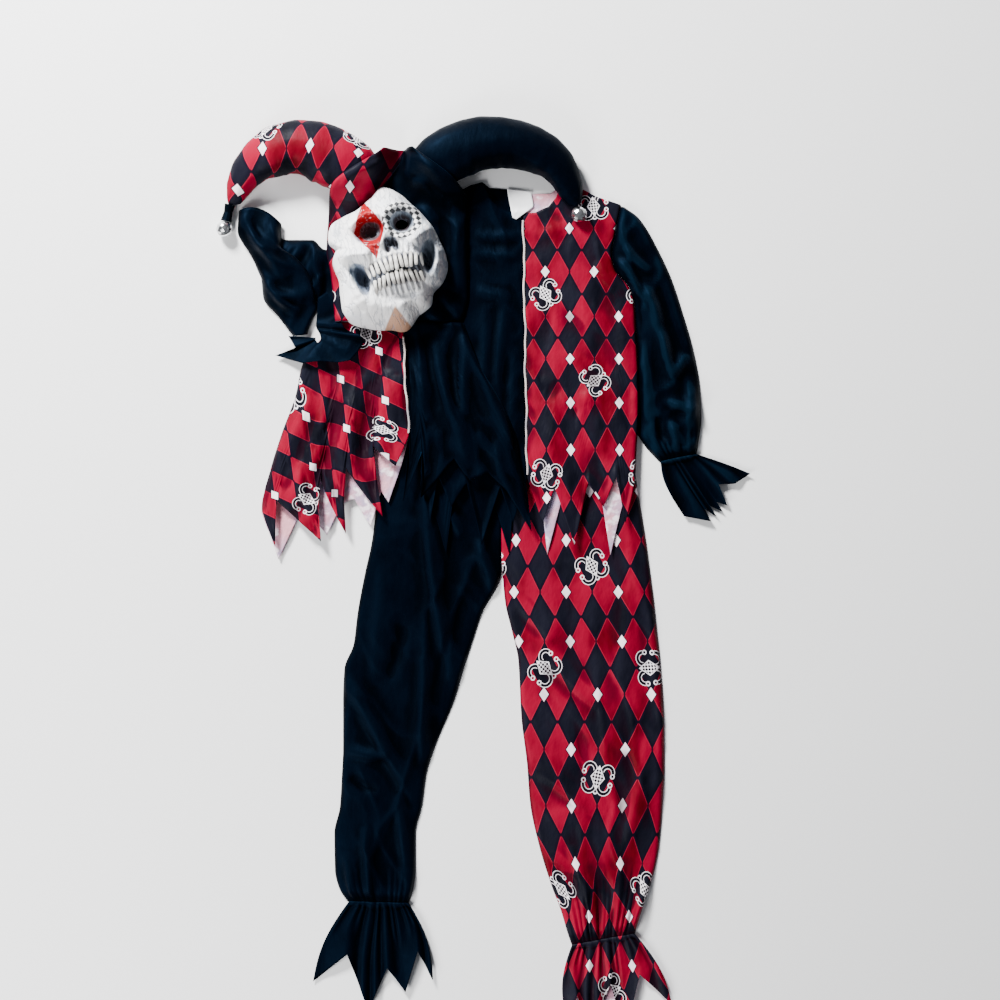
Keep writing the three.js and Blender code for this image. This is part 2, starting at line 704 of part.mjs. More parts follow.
// A closed geometry as a solid that can be joined and cut, and back again.
function solidOf(geometry) {
  const bare = geometry.clone();
  bare.deleteAttribute("normal");
  bare.deleteAttribute("uv");
  const merged = mergeVertices(bare, 1e-4);
  return new wasm.Manifold(
    new wasm.Mesh({
      numProp: 3,
      vertProperties: merged.attributes.position.array,
      triVerts: new Uint32Array(merged.index.array),
    }),
  );
}
function geometryOf(solid) {
  const { vertProperties, triVerts } = solid.getMesh();
  const geometry = new THREE.BufferGeometry();
  geometry.setAttribute("position", new THREE.Float32BufferAttribute(vertProperties, 3));
  geometry.setIndex(Array.from(triVerts));
  return geometry;
}
function ovalPost({ x, y, halfWidth, halfHeight, turn = 0 }) {
  const post = new THREE.CylinderGeometry(1, 1, 400, 28);
  post.rotateX(Math.PI / 2);
  post.scale(halfWidth, halfHeight, 1);
  post.rotateZ(turn);
  post.translate(x, y, 0);
  return solidOf(post);
}

// Edges that several panels share
const centreOfTunic = (y) => TUNIC_CENTRE_TOP_X + (TUNIC_NECK_Y - y) * TUNIC_CENTRE_LEAN;
const tunicSide = (y) => between(TUNIC_SIDE, "y", "x", y, true);
const mirroredSide = (y) => 2 * centreOfTunic(y) - tunicSide(y);
const legEdge = (rows, side) => (y) => between(rows, "y", side, y, true);
const edgeOf = (rows) => (y) => between(rows, "y", "x", y, true);

// Trousers
const ankleGathers = (at, fromAnkle) =>
  (ANKLE_GATHER_HEIGHT / 2) *
  (1 - Math.cos(2 * Math.PI * ANKLE_GATHERS * at)) *
  Math.max(0, 1 - fromAnkle / ANKLE_GATHER_REACH);

function legPlan(leg, front) {
  return panelPlan({
    left: (y) => legEdge(leg.rows, "left")(y) + (leg.seamOnLeft ? SEAM / 2 : 0),
    right: (y) => legEdge(leg.rows, "right")(y) - (leg.seamOnLeft ? 0 : SEAM / 2),
    top: [{ at: 0, y: WAIST_Y }, { at: 1, y: WAIST_Y }],
    hem: leg.ankle,
    across: evenSteps(front ? 2 * ANKLE_GATHERS : 3),
    steps: front ? 17 : 12,
  });
}
function trouserPanel(leg, front) {
  const length = WAIST_Y - leg.ankle[0].y;
  const floor = (x, y, at, along) =>
    front ? PLY + foldHeight(leg.folds, x, y) + ankleGathers(at, (1 - along) * length) : 0;
  return clothWall(legPlan(leg, front), floor);
}
const blackLeg = { rows: BLACK_LEG, ankle: BLACK_ANKLE, seamOnLeft: false, folds: BLACK_LEG_FOLDS };
const harlequinLeg = {
  rows: HARLEQUIN_LEG,
  ankle: HARLEQUIN_ANKLE,
  seamOnLeft: true,
  folds: HARLEQUIN_LEG_FOLDS,
};

const ruffleFloor = (base, waves, height) => (x, y, at, along) =>
  base(x, y) + (height / 2) * (1 - Math.cos(2 * Math.PI * waves * at)) * Math.sqrt(along);

const shorter = (rays, share) =>
  rays.map((ray) => ({
    ...ray,
    tipX: lerp(ray.rootX, ray.tipX, share),
    tipY: lerp(ray.rootY, ray.tipY, share),
  }));
// Roots of a ruffle's rays, a seam's gap below the hem of the panel it is sewn to.
function rootedBelow(plan, rays) {
  const hem = plan.map((line) => line[line.length - 1]).map(([x, y]) => ({ x, y }));
  return rays.map((ray) => ({ ...ray, rootY: between(hem, "x", "y", ray.rootX, false) - SEAM }));
}

const trousers = groupOf(
  meshOf("trouser_back_black", trouserPanel(blackLeg, false), KNIT_BLACK),
  meshOf("trouser_back_harlequin", trouserPanel(harlequinLeg, false), HARLEQUIN_RED),
  meshOf("trouser_front_black", trouserPanel(blackLeg, true), KNIT_BLACK),
  meshOf("trouser_front_harlequin", trouserPanel(harlequinLeg, true), HARLEQUIN_RED),
);

function ankleRuffle(leg, rays, share, front) {
  const rooted = shorter(rootedBelow(legPlan(leg, true), rays), share);
  const floor = front ? ruffleFloor(() => PLY, ANKLE_GATHERS, 3) : () => 0;
  return clothWall(rufflePlan(rooted, front ? 3 : 1, front ? 4 : 2, 11), floor);
}
const ruffles = groupOf(
  meshOf("ankle_ruffle_black_back", ankleRuffle(blackLeg, BLACK_ANKLE_RUFFLE, 0.94, false), KNIT_BLACK),
  meshOf("ankle_ruffle_black_front", ankleRuffle(blackLeg, BLACK_ANKLE_RUFFLE, 1, true), KNIT_BLACK),
  meshOf(
    "ankle_ruffle_harlequin_back",
    ankleRuffle(harlequinLeg, HARLEQUIN_ANKLE_RUFFLE_BACK, 1, false),
    HARLEQUIN_RED,
  ),
  meshOf(
    "ankle_ruffle_harlequin_front",
    ankleRuffle(harlequinLeg, HARLEQUIN_ANKLE_RUFFLE, 1, true),
    HARLEQUIN_RED,
  ),
);

// Tunic
function tunicPlan(black, front) {
  const left = black ? (y) => mirroredSide(y) : (y) => centreOfTunic(y) + SEAM / 2;
  const right = black ? (y) => centreOfTunic(y) - SEAM / 2 : (y) => tunicSide(y);
  const turn = (rows) => (black ? rows.map((row) => ({ ...row, at: 1 - row.at })).reverse() : rows);
  const hem = turn(front ? TUNIC_FRONT_HEM : TUNIC_BACK_HEM);
  return panelPlan({
    left,
    right,
    top: turn(front ? TUNIC_FRONT_TOP : TUNIC_BACK_TOP),
    hem,
    across: acrossSteps(hem, front && !black ? 2 : 1),
    steps: front && !black ? 15 : 12,
  });
}
function tunicPanel(black, front) {
  const folds = front && !black ? TUNIC_FOLDS : [];
  const floor = (x, y) => (front ? tunicFrontBase(x, y) + foldHeight(folds, x, y) : tunicBase(x, y));
  return clothWall(tunicPlan(black, front), floor);
}
// The space over and under a tunic panel, moved out by a seam's gap, which trims its sleeve.
function armholeCutter(black, front) {
  const shift = black ? -SEAM : SEAM;
  const plan = tunicPlan(black, front).map((line) => line.map(([x, y]) => [x + shift, y]));
  return solidOf(clothWall(plan, () => -10, 30));
}
function trimmed(geometry, black, front) {
  return geometryOf(solidOf(geometry).subtract(armholeCutter(black, front)));
}
function tapeStrip(middle, topY, endY, floor, steps) {
  const plan = panelPlan({
    left: (y) => middle(y) - TAPE_WIDTH / 2,
    right: (y) => middle(y) + TAPE_WIDTH / 2,
    top: [{ at: 0, y: topY }, { at: 1, y: topY }],
    hem: [{ at: 0, y: endY }, { at: 1, y: endY }],
    across: [0, 1],
    steps,
  });
  return clothWall(plan, floor, TAPE_THICKNESS);
}
const NECK_LABEL = [
  { ax: 14, ay: 505, bx: 46, by: 490, bow: 0 },
  { ax: 12, ay: 478, bx: 53, by: 471, bow: 0 },
  { ax: 24, ay: 448, bx: 50, by: 462, bow: 0 },
];
const tunic = groupOf(
  meshOf("tunic_back_black", tunicPanel(true, false), KNIT_BLACK),
  meshOf("tunic_back_harlequin", tunicPanel(false, false), HARLEQUIN_RED),
  meshOf("tunic_front_black", tunicPanel(true, true), KNIT_BLACK),
  meshOf("tunic_front_harlequin", tunicPanel(false, true), HARLEQUIN_RED),
  meshOf(
    "front_seam_tape",
    tapeStrip(centreOfTunic, 447, TAPE_END_Y, (x, y) => tunicFrontBase(x, y) + PLY, 18),
    WHITE_TAPE,
  ),
  meshOf(
    "neck_label",
    clothWall(sleevePlan(NECK_LABEL, 2, 4), () => TWO_PLIES, TAPE_THICKNESS),
    LABEL_WHITE,
  ),
);

// Right sleeve
const sleeveInner = (y) =>
  Math.max(tunicSide(y) - 6, y > 140 ? -Infinity : between(SLEEVE_INNER_END, "y", "x", y, false));
function rightSleevePlan(front) {
  return panelPlan({
    left: sleeveInner,
    right: edgeOf(SLEEVE_OUTER),
    top: SLEEVE_TOP,
    hem: SLEEVE_WRIST,
    across: evenSteps(front ? 8 : 3),
    steps: front ? 15 : 12,
  });
}
function rightSleeve(front) {
  const gathers = (at, along) =>
    0.8 * (1 - Math.cos(8 * Math.PI * at)) * Math.max(0, 1 - (1 - along) * 9);
  const floor = (x, y, at, along) =>
    front ? PLY + foldHeight(SLEEVE_FOLDS, x, y) + gathers(at, along) : 0;
  return trimmed(clothWall(rightSleevePlan(front), floor), false, front);
}
function rightWristRuffle(front) {
  const rays = shorter(rootedBelow(rightSleevePlan(true), RIGHT_WRIST_RUFFLE), front ? 1 : 0.93);
  const floor = front ? ruffleFloor(() => PLY, 5, 3.4) : () => 0;
  return clothWall(rufflePlan(rays, front ? 2 : 1, front ? 3 : 2, 4), floor);
}
const sleeve = groupOf(
  meshOf("sleeve_right_back", rightSleeve(false), KNIT_BLACK),
  meshOf("sleeve_right_front", rightSleeve(true), KNIT_BLACK),
  meshOf("wrist_ruffle_right_back", rightWristRuffle(false), KNIT_BLACK),
  meshOf("wrist_ruffle_right_front", rightWristRuffle(true), KNIT_BLACK),
);

// Left sleeve: the upper part runs under the hood, the forearm folds back over it.
function leftSleeve(rows, level, folds, columns, steps) {
  const plan = sleevePlan(rows, columns, steps);
  return clothWall(plan, (x, y) => level * PLY + foldHeight(folds, x, y));
}
const leftUpperSleeve = (front) =>
  trimmed(leftSleeve(LEFT_UPPER_SLEEVE, front ? 1 : 0, [], 3, 12), true, front);
const foldedSleeve = groupOf(
  meshOf("sleeve_left_upper_back", leftUpperSleeve(false), KNIT_BLACK),
  meshOf("sleeve_left_upper_front", leftUpperSleeve(true), KNIT_BLACK),
  meshOf("sleeve_left_forearm_back", leftSleeve(LEFT_FOREARM, 2, [], 3, 10), KNIT_BLACK),
  meshOf("sleeve_left_forearm_front", leftSleeve(LEFT_FOREARM, 3, FOREARM_FOLDS, 7, 12), KNIT_BLACK),
  meshOf(
    "wrist_ruffle_left",
    clothWall(rufflePlan(LEFT_WRIST_RUFFLE, 2, 4, 0), ruffleFloor(leftRuffleBase, 5, 4)),
    KNIT_BLACK,
  ),
);

// Cape
function capePanel(black, front) {
  const seamSide = edgeOf(CAPE_SEAM);
  const frontHem = black ? CAPE_BLACK_HEM : CAPE_HARLEQUIN_HEM;
  const backHem = black ? CAPE_BLACK_BACK_HEM : CAPE_HARLEQUIN_BACK_HEM;
  const hem = front ? frontHem : backHem;
  const plan = panelPlan({
    left: black ? (y) => seamSide(y) + SEAM / 2 : edgeOf(CAPE_LEFT_EDGE),
    right: black ? edgeOf(CAPE_RIGHT_EDGE) : (y) => seamSide(y) - SEAM / 2,
    top: CAPE_NECK,
    hem,
    across: acrossSteps(hem, front ? 2 : 1),
    steps: front ? 10 : 8,
  });
  const folds = black ? CAPE_BLACK_FOLDS : CAPE_HARLEQUIN_FOLDS;
  const floor = (x, y) => (front ? capeFrontBase(x, y) + foldHeight(folds, x, y) : capeBase(x, y));
  return clothWall(plan, floor);
}
const cape = groupOf(
  meshOf("cape_back_harlequin", capePanel(false, false), HARLEQUIN_RED),
  meshOf("cape_back_black", capePanel(true, false), KNIT_BLACK),
  meshOf("cape_front_harlequin", capePanel(false, true), HARLEQUIN_RED),
  meshOf("cape_front_black", capePanel(true, true), KNIT_BLACK),
  meshOf(
    "cape_seam_tape",
    tapeStrip(edgeOf(CAPE_SEAM), 260, 106, (x, y) => capeFrontBase(x, y) + PLY + SEAM, 10),
    WHITE_TAPE,
  ),
);

// Horns: padded, flat where they rest, sunk into the hood's top at the root
const HORN_SECTION = [
  { side: 1, height: 0.42 },
  { side: 0.9, height: 0.72 },
  { side: 0.55, height: 0.93 },
  { side: 0, height: 1 },
  { side: -0.55, height: 0.93 },
  { side: -0.9, height: 0.72 },
  { side: -1, height: 0.42 },
  { side: -0.9, height: 0.14 },
  { side: -0.6, height: 0 },
  { side: 0, height: 0 },
  { side: 0.6, height: 0 },
  { side: 0.9, height: 0.14 },
];
function hornGeometry(rows) {
  const middle = rows.map(({ x, y }) => new THREE.Vector2(x, y));
  const heading = middle.map((_, i) => {
    const ahead = middle[Math.min(i + 1, middle.length - 1)];
    const behind = middle[Math.max(i - 1, 0)];
    return ahead.clone().sub(behind).normalize();
  });
  const points = [];
  rows.forEach((row, i) => {
    const across = new THREE.Vector2(-heading[i].y, heading[i].x).multiplyScalar(row.width / 2);
    for (const { side, height } of HORN_SECTION) {
      const z = row.lift + height * row.height;
      points.push([row.x + across.x * side, row.y + across.y * side, z]);
    }
  });
  const around = HORN_SECTION.length;
  const triangles = [];
  for (let i = 0; i < rows.length - 1; i += 1) {
    for (let j = 0; j < around; j += 1) {
      const [a, b] = [i * around + j, i * around + ((j + 1) % around)];
      triangles.push(a, b, b + around, a, b + around, a + around);
    }
  }
  const lastRing = (rows.length - 1) * around;
  for (let j = 1; j < around - 1; j += 1) {
    triangles.push(0, j + 1, j);
    triangles.push(lastRing, lastRing + j, lastRing + j + 1);
  }
  return closedGeometry(points, triangles);
}

// Hood
function hoodPanel(black, front) {
  const plan = panelPlan({
    left: black ? () => HOOD_CENTRE_X + SEAM / 2 : edgeOf(HOOD_LEFT_EDGE),
    right: black ? edgeOf(HOOD_RIGHT_EDGE) : () => HOOD_CENTRE_X - SEAM / 2,
    top: HOOD_TOP,
    hem: HOOD_NECK,
    across: evenSteps(front ? 5 : 3),
    steps: front ? 10 : 8,
  });
  const wall = clothWall(plan, (x, y) => hoodBase(x, y) + (front ? PLY : 0));
  return front ? geometryOf(solidOf(wall).subtract(ovalPost(FACE_OPENING))) : wall;
}

function bellAt(x, y, z, turn) {
  const ball = new THREE.SphereGeometry(BELL_RADIUS, 12, 8);
  const slot = new THREE.BoxGeometry(2 * BELL_RADIUS + 2, 1.8, BELL_RADIUS);
  slot.translate(0, 0, BELL_RADIUS * 0.95);
  const bell = geometryOf(solidOf(ball).subtract(solidOf(slot)));
  bell.rotateX(0.9);
  bell.rotateZ(turn);
  bell.translate(x, y, z);
  return bell;
}
const HORN_END_BAND = [
  { x: -431.1, y: 471.6, width: 17, height: 11, lift: 4 },
  { x: -434, y: 458.6, width: 14, height: 9, lift: 5 },
  { x: -437, y: 445, width: 18, height: 12, lift: 5 },
];
const hood = groupOf(
  meshOf("hood_back_harlequin", hoodPanel(false, false), HARLEQUIN_RED),
  meshOf("hood_back_black", hoodPanel(true, false), KNIT_BLACK),
  meshOf("hood_front_harlequin", hoodPanel(false, true), HARLEQUIN_RED),
  meshOf("hood_front_black", hoodPanel(true, true), KNIT_BLACK),
  meshOf("horn_harlequin", hornGeometry(HARLEQUIN_HORN), HARLEQUIN_RED),
  meshOf("horn_black", hornGeometry(BLACK_HORN), KNIT_BLACK),
  meshOf("horn_end_band", hornGeometry(HORN_END_BAND), KNIT_BLACK),
  meshOf("bell_left", bellAt(-439.8, 432.2, BELL_RADIUS, 0.3), BELL_STEEL),
  meshOf("bell_right", bellAt(126, 455, TWO_PLIES + BELL_RADIUS, -0.2), BELL_STEEL),
);

// Mask: a thin moulded shell over the face opening
const toMaskFrame = (dx, dy) => [
  dx * Math.cos(MASK_TILT) + dy * Math.sin(MASK_TILT),
  -dx * Math.sin(MASK_TILT) + dy * Math.cos(MASK_TILT),
];
const fromMaskFrame = (across, up) => [
  MASK_CENTRE.x + across * Math.cos(MASK_TILT) - up * Math.sin(MASK_TILT),
  MASK_CENTRE.y + across * Math.sin(MASK_TILT) + up * Math.cos(MASK_TILT),
];
const maskReach = (angle) => between(MASK_OUTLINE, "angle", "reach", ((angle % 360) + 360) % 360, true);

function maskHeight(x, y) {
  const dx = x - MASK_CENTRE.x;
  const dy = y - MASK_CENTRE.y;
  const reach = maskReach(THREE.MathUtils.radToDeg(Math.atan2(dy, dx)));
  const share = Math.min(Math.hypot(dx, dy) / reach, 1);
  const dome = MASK_RELIEF * Math.sqrt(Math.max(0, 1 - share ** 2.6));
  const [across, up] = toMaskFrame(dx, dy);
  let relief = 0;
  for (const spot of MASK_FEATURES) {
    const far = ((across - spot.across) / spot.wide) ** 2 + ((up - spot.up) / spot.tall) ** 2;
    relief += spot.height * Math.exp(-far);
  }
  return dome + relief * Math.sqrt(Math.max(0, 1 - share ** 6));
}

function maskShell(rings, spokes) {
  const surface = (inset, lower) => {
    const lines = [];
    for (let s = 0; s < spokes; s += 1) {
      const angle = (360 * s) / spokes;
      const [cos, sin] = [Math.cos((Math.PI * angle) / 180), Math.sin((Math.PI * angle) / 180)];
      const line = [];
      for (let r = 1; r <= rings; r += 1) {
        const share = Math.sin((Math.PI / 2) * (r / rings));
        const reach = maskReach(angle) * share;
        const [x, y] = [MASK_CENTRE.x + reach * cos, MASK_CENTRE.y + reach * sin];
        const shrink = (reach - inset * share) / reach;
        const z = r === rings ? 0 : Math.max(maskHeight(x, y) - lower, 0.4);
        line.push([lerp(MASK_CENTRE.x, x, shrink), lerp(MASK_CENTRE.y, y, shrink), z]);
      }
      lines.push(line);
    }
    return lines;
  };
  const outer = surface(0, 0);
  const inner = surface(MASK_WALL, MASK_WALL);
  const points = [];
  const put = (point) => points.push([point[0], point[1], point[2] + MASK_RIM_Z]) - 1;
  const middleHeight = maskHeight(MASK_CENTRE.x, MASK_CENTRE.y);
  const outerTop = put([MASK_CENTRE.x, MASK_CENTRE.y, middleHeight]);
  const innerTop = put([MASK_CENTRE.x, MASK_CENTRE.y, middleHeight - MASK_WALL]);
  const outerAt = outer.map((line) => line.map(put));
  const innerAt = inner.map((line) => line.map(put));
  const triangles = [];
  for (let s = 0; s < spokes; s += 1) {
    const next = (s + 1) % spokes;
    triangles.push(outerTop, outerAt[s][0], outerAt[next][0]);
    triangles.push(innerTop, innerAt[next][0], innerAt[s][0]);
    for (let r = 0; r < rings - 1; r += 1) {
      const [a, b, c, d] = [outerAt[s][r], outerAt[s][r + 1], outerAt[next][r + 1], outerAt[next][r]];
      triangles.push(a, b, c, a, c, d);
      const [e, f, g, h] = [innerAt[s][r], innerAt[next][r], innerAt[next][r + 1], innerAt[s][r + 1]];
      triangles.push(e, f, g, e, g, h);
    }
    const [p, q] = [outerAt[s][rings - 1], innerAt[s][rings - 1]];
    const [u, v] = [innerAt[next][rings - 1], outerAt[next][rings - 1]];
    triangles.push(p, q, u, p, u, v);
  }
  return closedGeometry(points, triangles);
}
function maskGeometry() {
  let shell = solidOf(maskShell(10, 36));
  for (const eye of EYE_HOLES) {
    const [x, y] = fromMaskFrame(eye.across, eye.up);
    shell = shell.subtract(ovalPost({ ...eye, x, y, turn: MASK_TILT }));
  }
  return geometryOf(shell);
}
// A row of teeth follows the mask's surface, swelling over each tooth.
function teethGeometry({ up, reach, tall, sag, teeth }) {
  const plan = evenSteps(3 * teeth).map((at) =>
    evenSteps(2).map((along) => {
      const side = 2 * at - 1;
      const middle = up - sag * side * side;
      const [x, y] = fromMaskFrame(11 + reach * side, middle + (0.5 - along) * tall);
      return [x, y, at, along];
    }),
  );
  const lower = plan.map((line) => line.map(([x, y]) => [x, y, MASK_RIM_Z + maskHeight(x, y) + 0.6]));
  const upper = plan.map((line) =>
    line.map(([x, y, at, along], j) => {
      const swell = 1.2 * Math.abs(Math.sin(Math.PI * teeth * at)) + (j === 1 ? 0.8 : 0);
      return [x, y, MASK_RIM_Z + maskHeight(x, y) + 2.4 + swell];
    }),
  );
  return wallBetween(lower, upper);
}
const mask = groupOf(
  meshOf("mask_shell", maskGeometry(), BONE_LATEX),
  ...TEETH_ROWS.map((row) => meshOf(row.name, teethGeometry(row), BONE_LATEX)),
);

const costume = new THREE.Group();
costume.add(trousers, ruffles, tunic, sleeve, foldedSleeve, cape, hood, mask);

export default costume;
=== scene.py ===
"""Looks of a jester costume laid flat: tunic over trousers, a horned hood with its cape and skull mask.

Each piece of cloth is a plan grid that is laid on what is under it, from the trousers up to the hood,
then folded, creased and given a thickness. The horns are swelled by pressure, the mask is a height
over the face, and the bells and the band at a horn's end keep the shape of their solids.
Tables and cloth heights are in millimetres, meshes in metres, in the part's own frame.
"""
import math

import bpy
import numpy as np
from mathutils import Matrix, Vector
from mathutils.bvhtree import BVHTree


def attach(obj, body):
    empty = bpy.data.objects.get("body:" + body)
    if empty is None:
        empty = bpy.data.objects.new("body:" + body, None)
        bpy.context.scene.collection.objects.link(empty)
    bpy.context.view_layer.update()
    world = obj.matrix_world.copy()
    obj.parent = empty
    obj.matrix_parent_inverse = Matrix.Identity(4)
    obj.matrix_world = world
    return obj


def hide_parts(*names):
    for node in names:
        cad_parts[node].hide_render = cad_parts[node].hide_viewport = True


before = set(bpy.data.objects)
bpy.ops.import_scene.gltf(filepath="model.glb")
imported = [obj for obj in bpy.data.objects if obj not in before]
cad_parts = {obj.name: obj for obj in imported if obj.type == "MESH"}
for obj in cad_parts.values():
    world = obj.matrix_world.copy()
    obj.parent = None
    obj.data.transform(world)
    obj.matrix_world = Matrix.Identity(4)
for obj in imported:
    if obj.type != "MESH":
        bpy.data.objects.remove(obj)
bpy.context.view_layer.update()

# Sizes, in mm unless a comment says otherwise
MM = 0.001  # in metres
CLOTH = 1.5  # thickness of a ply in the part's solids
PLY = 1.9  # that ply and the gap over it
TWO_PLIES = 2 * PLY
SLACK = 0.9  # air under the layers that lie loosely
SEAM = 0.3  # gap between panels that are sewn edge to edge
SHEET = 0.7  # thickness of the cloth as it shows
GRID_STEP = 4.0
FOLD_RISE = 1.9  # folds are this many times as tall as their tables say
ROLL_DROP = PLY * 0.6  # how far a rolled side sinks towards the ply below
RAY_START = 0.4  # metres above the floor
LEAST_SHEET_WIDTH = 0.01  # metres, the narrowest that a sheet can be stated
LEAST_SHEET_SHARE = 0.301  # the least share of its box that a sheet's area can be stated
RUFFLE_STEPS = 26  # grid steps from a ruffle's root to its rim
RUFFLE_OVERLAP = 1.6  # how far a ruffle's upper ply reaches under the hem above it
TAPE_WIDTH = 3.0
STITCH_MM = 3.2
HORN_VOXEL = 0.005  # metres
HORN_SWELL = 0.006  # metres, the most that pressure moves a point
MASK_CENTRE = (-179, 381)
MASK_TILT = math.radians(15)
MASK_RELIEF = 74  # height of the plain dome over its rim
MASK_RIM_Z = 2 * TWO_PLIES + SLACK + 0.2
MASK_WALL = 2.2
MASK_RINGS, MASK_SPOKES = 130, 320
TOOTH_RINGS, TOOTH_SPOKES = 10, 20
TOOTH_DEEP = 7.0
FULL_TURN = 6.283  # radians
PHOTO_WIDTH = 1.6  # metres
LENS, SENSOR = 85, 36

# Heights in the picture at which pieces start or end
WAIST_Y = 109
CROTCH_Y = -117
NECK_SEAM_Y = 284
CAPE_NECK_Y = 283
TUNIC_NECK_Y = 458
SLEEVE_TOP_Y = 468
HOOD_TOP_Y = 558
HOOD_NECK_Y = 284.5

# Tables: each names its columns. A panel's rows give its edges at the height y.
BLACK_LEG = (  # y, left, right
    (109, -166, 2), (48, -184, 2), (-10, -197, 2), (-72, -206, 2), (-117, -216, 2), (-182, -228, -29),
    (-230, -234, -45), (-270, -249, -58), (-320, -251, -73), (-395, -251, -104), (-440, -253, -118),
    (-490, -256, -125), (-533, -265, -135), (-592, -264, -135), (-619, -258, -138), (-646, -241, -146),
)
HARLEQUIN_LEG = (  # y, left, right
    (109, 2, 208), (46, 2, 216), (5, 2, 222), (-72, 2, 234), (-117, 4, 240), (-163, 8, 246),
    (-210, 19, 251), (-256, 29, 256), (-347, 34, 262), (-422, 43, 263), (-485, 48, 260),
    (-555, 63, 254), (-619, 83, 240), (-656, 97, 227), (-693, 108, 216), (-713, 115, 213),
)
BLACK_ANKLE = (  # at, y
    (0, -642), (1, -645),
)
HARLEQUIN_ANKLE = (  # at, y
    (0, -712), (1, -694),
)
TUNIC_SIDE = (  # y, x
    (509, 196), (472, 193), (421, 183), (390, 179), (368, 184), (338, 208), (322, 214), (267, 218),
    (206, 221), (130, 221), (83, 218), (35, 216), (-90, 212),
)
TUNIC_FRONT_TOP = (  # at, y
    (0, 458), (0.12, 459), (0.26, 469), (0.33, 482), (0.4, 508), (0.52, 503), (0.74, 485), (1, 472),
)
TUNIC_BACK_TOP = (  # at, y
    (0, 489), (0.28, 490), (0.34, 497), (0.4, 508), (0.52, 503), (0.74, 485), (1, 472),
)
TUNIC_BLACK_BACK_TOP = (  # at, y
    (0, 487), (0.05, 490), (0.1, 496), (0.33, 499), (0.4, 508), (0.52, 503), (0.74, 485), (1, 472),
)
TUNIC_FRONT_HEM = (  # at, y
    (0, 35), (0.14, -38), (0.25, 21), (0.44, -72), (0.56, 27), (0.71, -11), (0.82, 37), (0.92, -37),
    (1, 35),
)
TUNIC_BACK_HEM = (  # at, y
    (0, 60), (0.12, 22), (0.15, -34), (0.18, -88), (0.31, -6), (0.37, 28), (0.56, 46), (0.64, 14),
    (0.7, -6), (0.785, -88), (0.87, -20), (0.94, 24), (1, 32),
)
SLEEVE_OUTER = (  # y, x
    (469, 198), (451, 222), (405, 250), (353, 274), (298, 292), (243, 308), (175, 320), (130, 322),
    (90, 317), (59, 312),
)
SLEEVE_INNER_END = (  # y, x
    (140, 205), (103, 221), (83, 234), (59, 257),
)
SLEEVE_WRIST = (  # at, y
    (0, 60), (1, 72),
)
BLACK_ANKLE_RUFFLE = (  # rootX, tipX, tipY
    (-241, -299, -770), (-221, -244, -725), (-201, -210, -816), (-184, -180, -747), (-169, -151, -786),
    (-155, -131, -720), (-146, -107, -767),
)
HARLEQUIN_ANKLE_RUFFLE = (  # rootX, tipX, tipY
    (115, 106, -832), (129, 123, -790), (149, 147, -864), (171, 176, -771), (187, 200, -856),
    (203, 223, -757), (215, 275, -806),
)
HARLEQUIN_ANKLE_RUFFLE_BACK = (  # rootX, tipX, tipY
    (115, 111, -818), (133, 130, -786), (149, 148, -846), (161, 162, -786), (173, 179, -834),
    (189, 202, -762), (203, 222, -752), (215, 236, -750),
)
RIGHT_WRIST_RUFFLE = (  # rootX, tipX, tipY
    (257, 275, 3), (264, 294, -26), (274, 337, -34), (279, 327, -14), (284, 346, -27), (288, 335, -9),
    (293, 356, -19), (297, 346, -3), (301, 363, -9), (306, 349, 25), (310, 375, 26), (314, 400, 42),
)
LEFT_WRIST_RUFFLE = (  # rootX, rootY, tipX, tipY
    (-294, 259, -338, 262), (-294.5, 257, -326, 243), (-294, 255, -359, 231), (-292, 252, -315, 218),
    (-290, 251, -285, 221), (-288, 252, -256, 219), (-286, 255, -238, 222), (-286, 260, -227, 235),
    (-288, 266, -216, 252), (-292, 272, -222, 262), (-294, 278, -246, 272), (-293, 286, -256, 288),
    (-292, 300, -262, 310), (-291, 322, -276, 332),
)
LEFT_UPPER_SLEEVE = (  # ax, ay, bx, by, bow
    (-112, 464, -128, 338, 15), (-208, 424, -208, 296, 0), (-277, 400, -277, 290, 0),
    (-301, 416, -294, 318, 0), (-339, 416, -336, 317, 0), (-350, 420, -371, 338, 0),
    (-350, 430, -400, 400, 0), (-350, 440, -416, 460, 0),
)
LEFT_FOREARM = (  # ax, ay, bx, by, bow
    (-417, 462, -349, 441, 0), (-419, 429, -350, 406, 0), (-397, 389, -326, 387, 0),
    (-381, 352, -304, 360, 0), (-378, 322, -295, 325, 0), (-354, 293, -291, 307, 0),
    (-336, 269, -302, 283, 0), (-330, 262, -308, 265, 0),
)
NECK_LABEL = (  # ax, ay, bx, by, bow
    (11, 498, 50, 492, 0), (14, 481, 54, 469, 0), (20, 451, 26, 448, 0),
)
CAPE_LEFT_EDGE = (  # y, x
    (284, -262), (250, -292), (216, -316), (166, -327), (109, -348), (48, -367), (-13, -381),
    (-110, -380),
)
CAPE_SEAM = (  # y, x
    (284, -155), (198, -151), (112, -145), (50, -142), (-110, -142),
)
CAPE_RIGHT_EDGE = (  # y, x
    (284, -59), (213, -32), (160, 0), (90, 27), (46, 33), (20, 43), (-50, 54),
)
CAPE_HARLEQUIN_HEM = (  # at, y, lean
    (0, -16, 0), (0.06, -75, 8), (0.1, 0, 0), (0.33, -66, 17), (0.37, 35, 0), (0.5, -54, 16),
    (0.54, 50, 0), (0.67, -26, 34), (0.72, 86, 0), (0.82, 54, 16), (1, 104, 0),
)
CAPE_HARLEQUIN_BACK_HEM = (  # at, y, lean
    (0, -20, 0), (0.11, -95, 0), (0.28, -10, 0), (0.42, -56, 4), (0.54, -6, 0), (0.62, 2, 0),
    (0.73, -43, 0), (0.8, 14, 0), (0.85, -4, 0), (1, 104, 0),
)
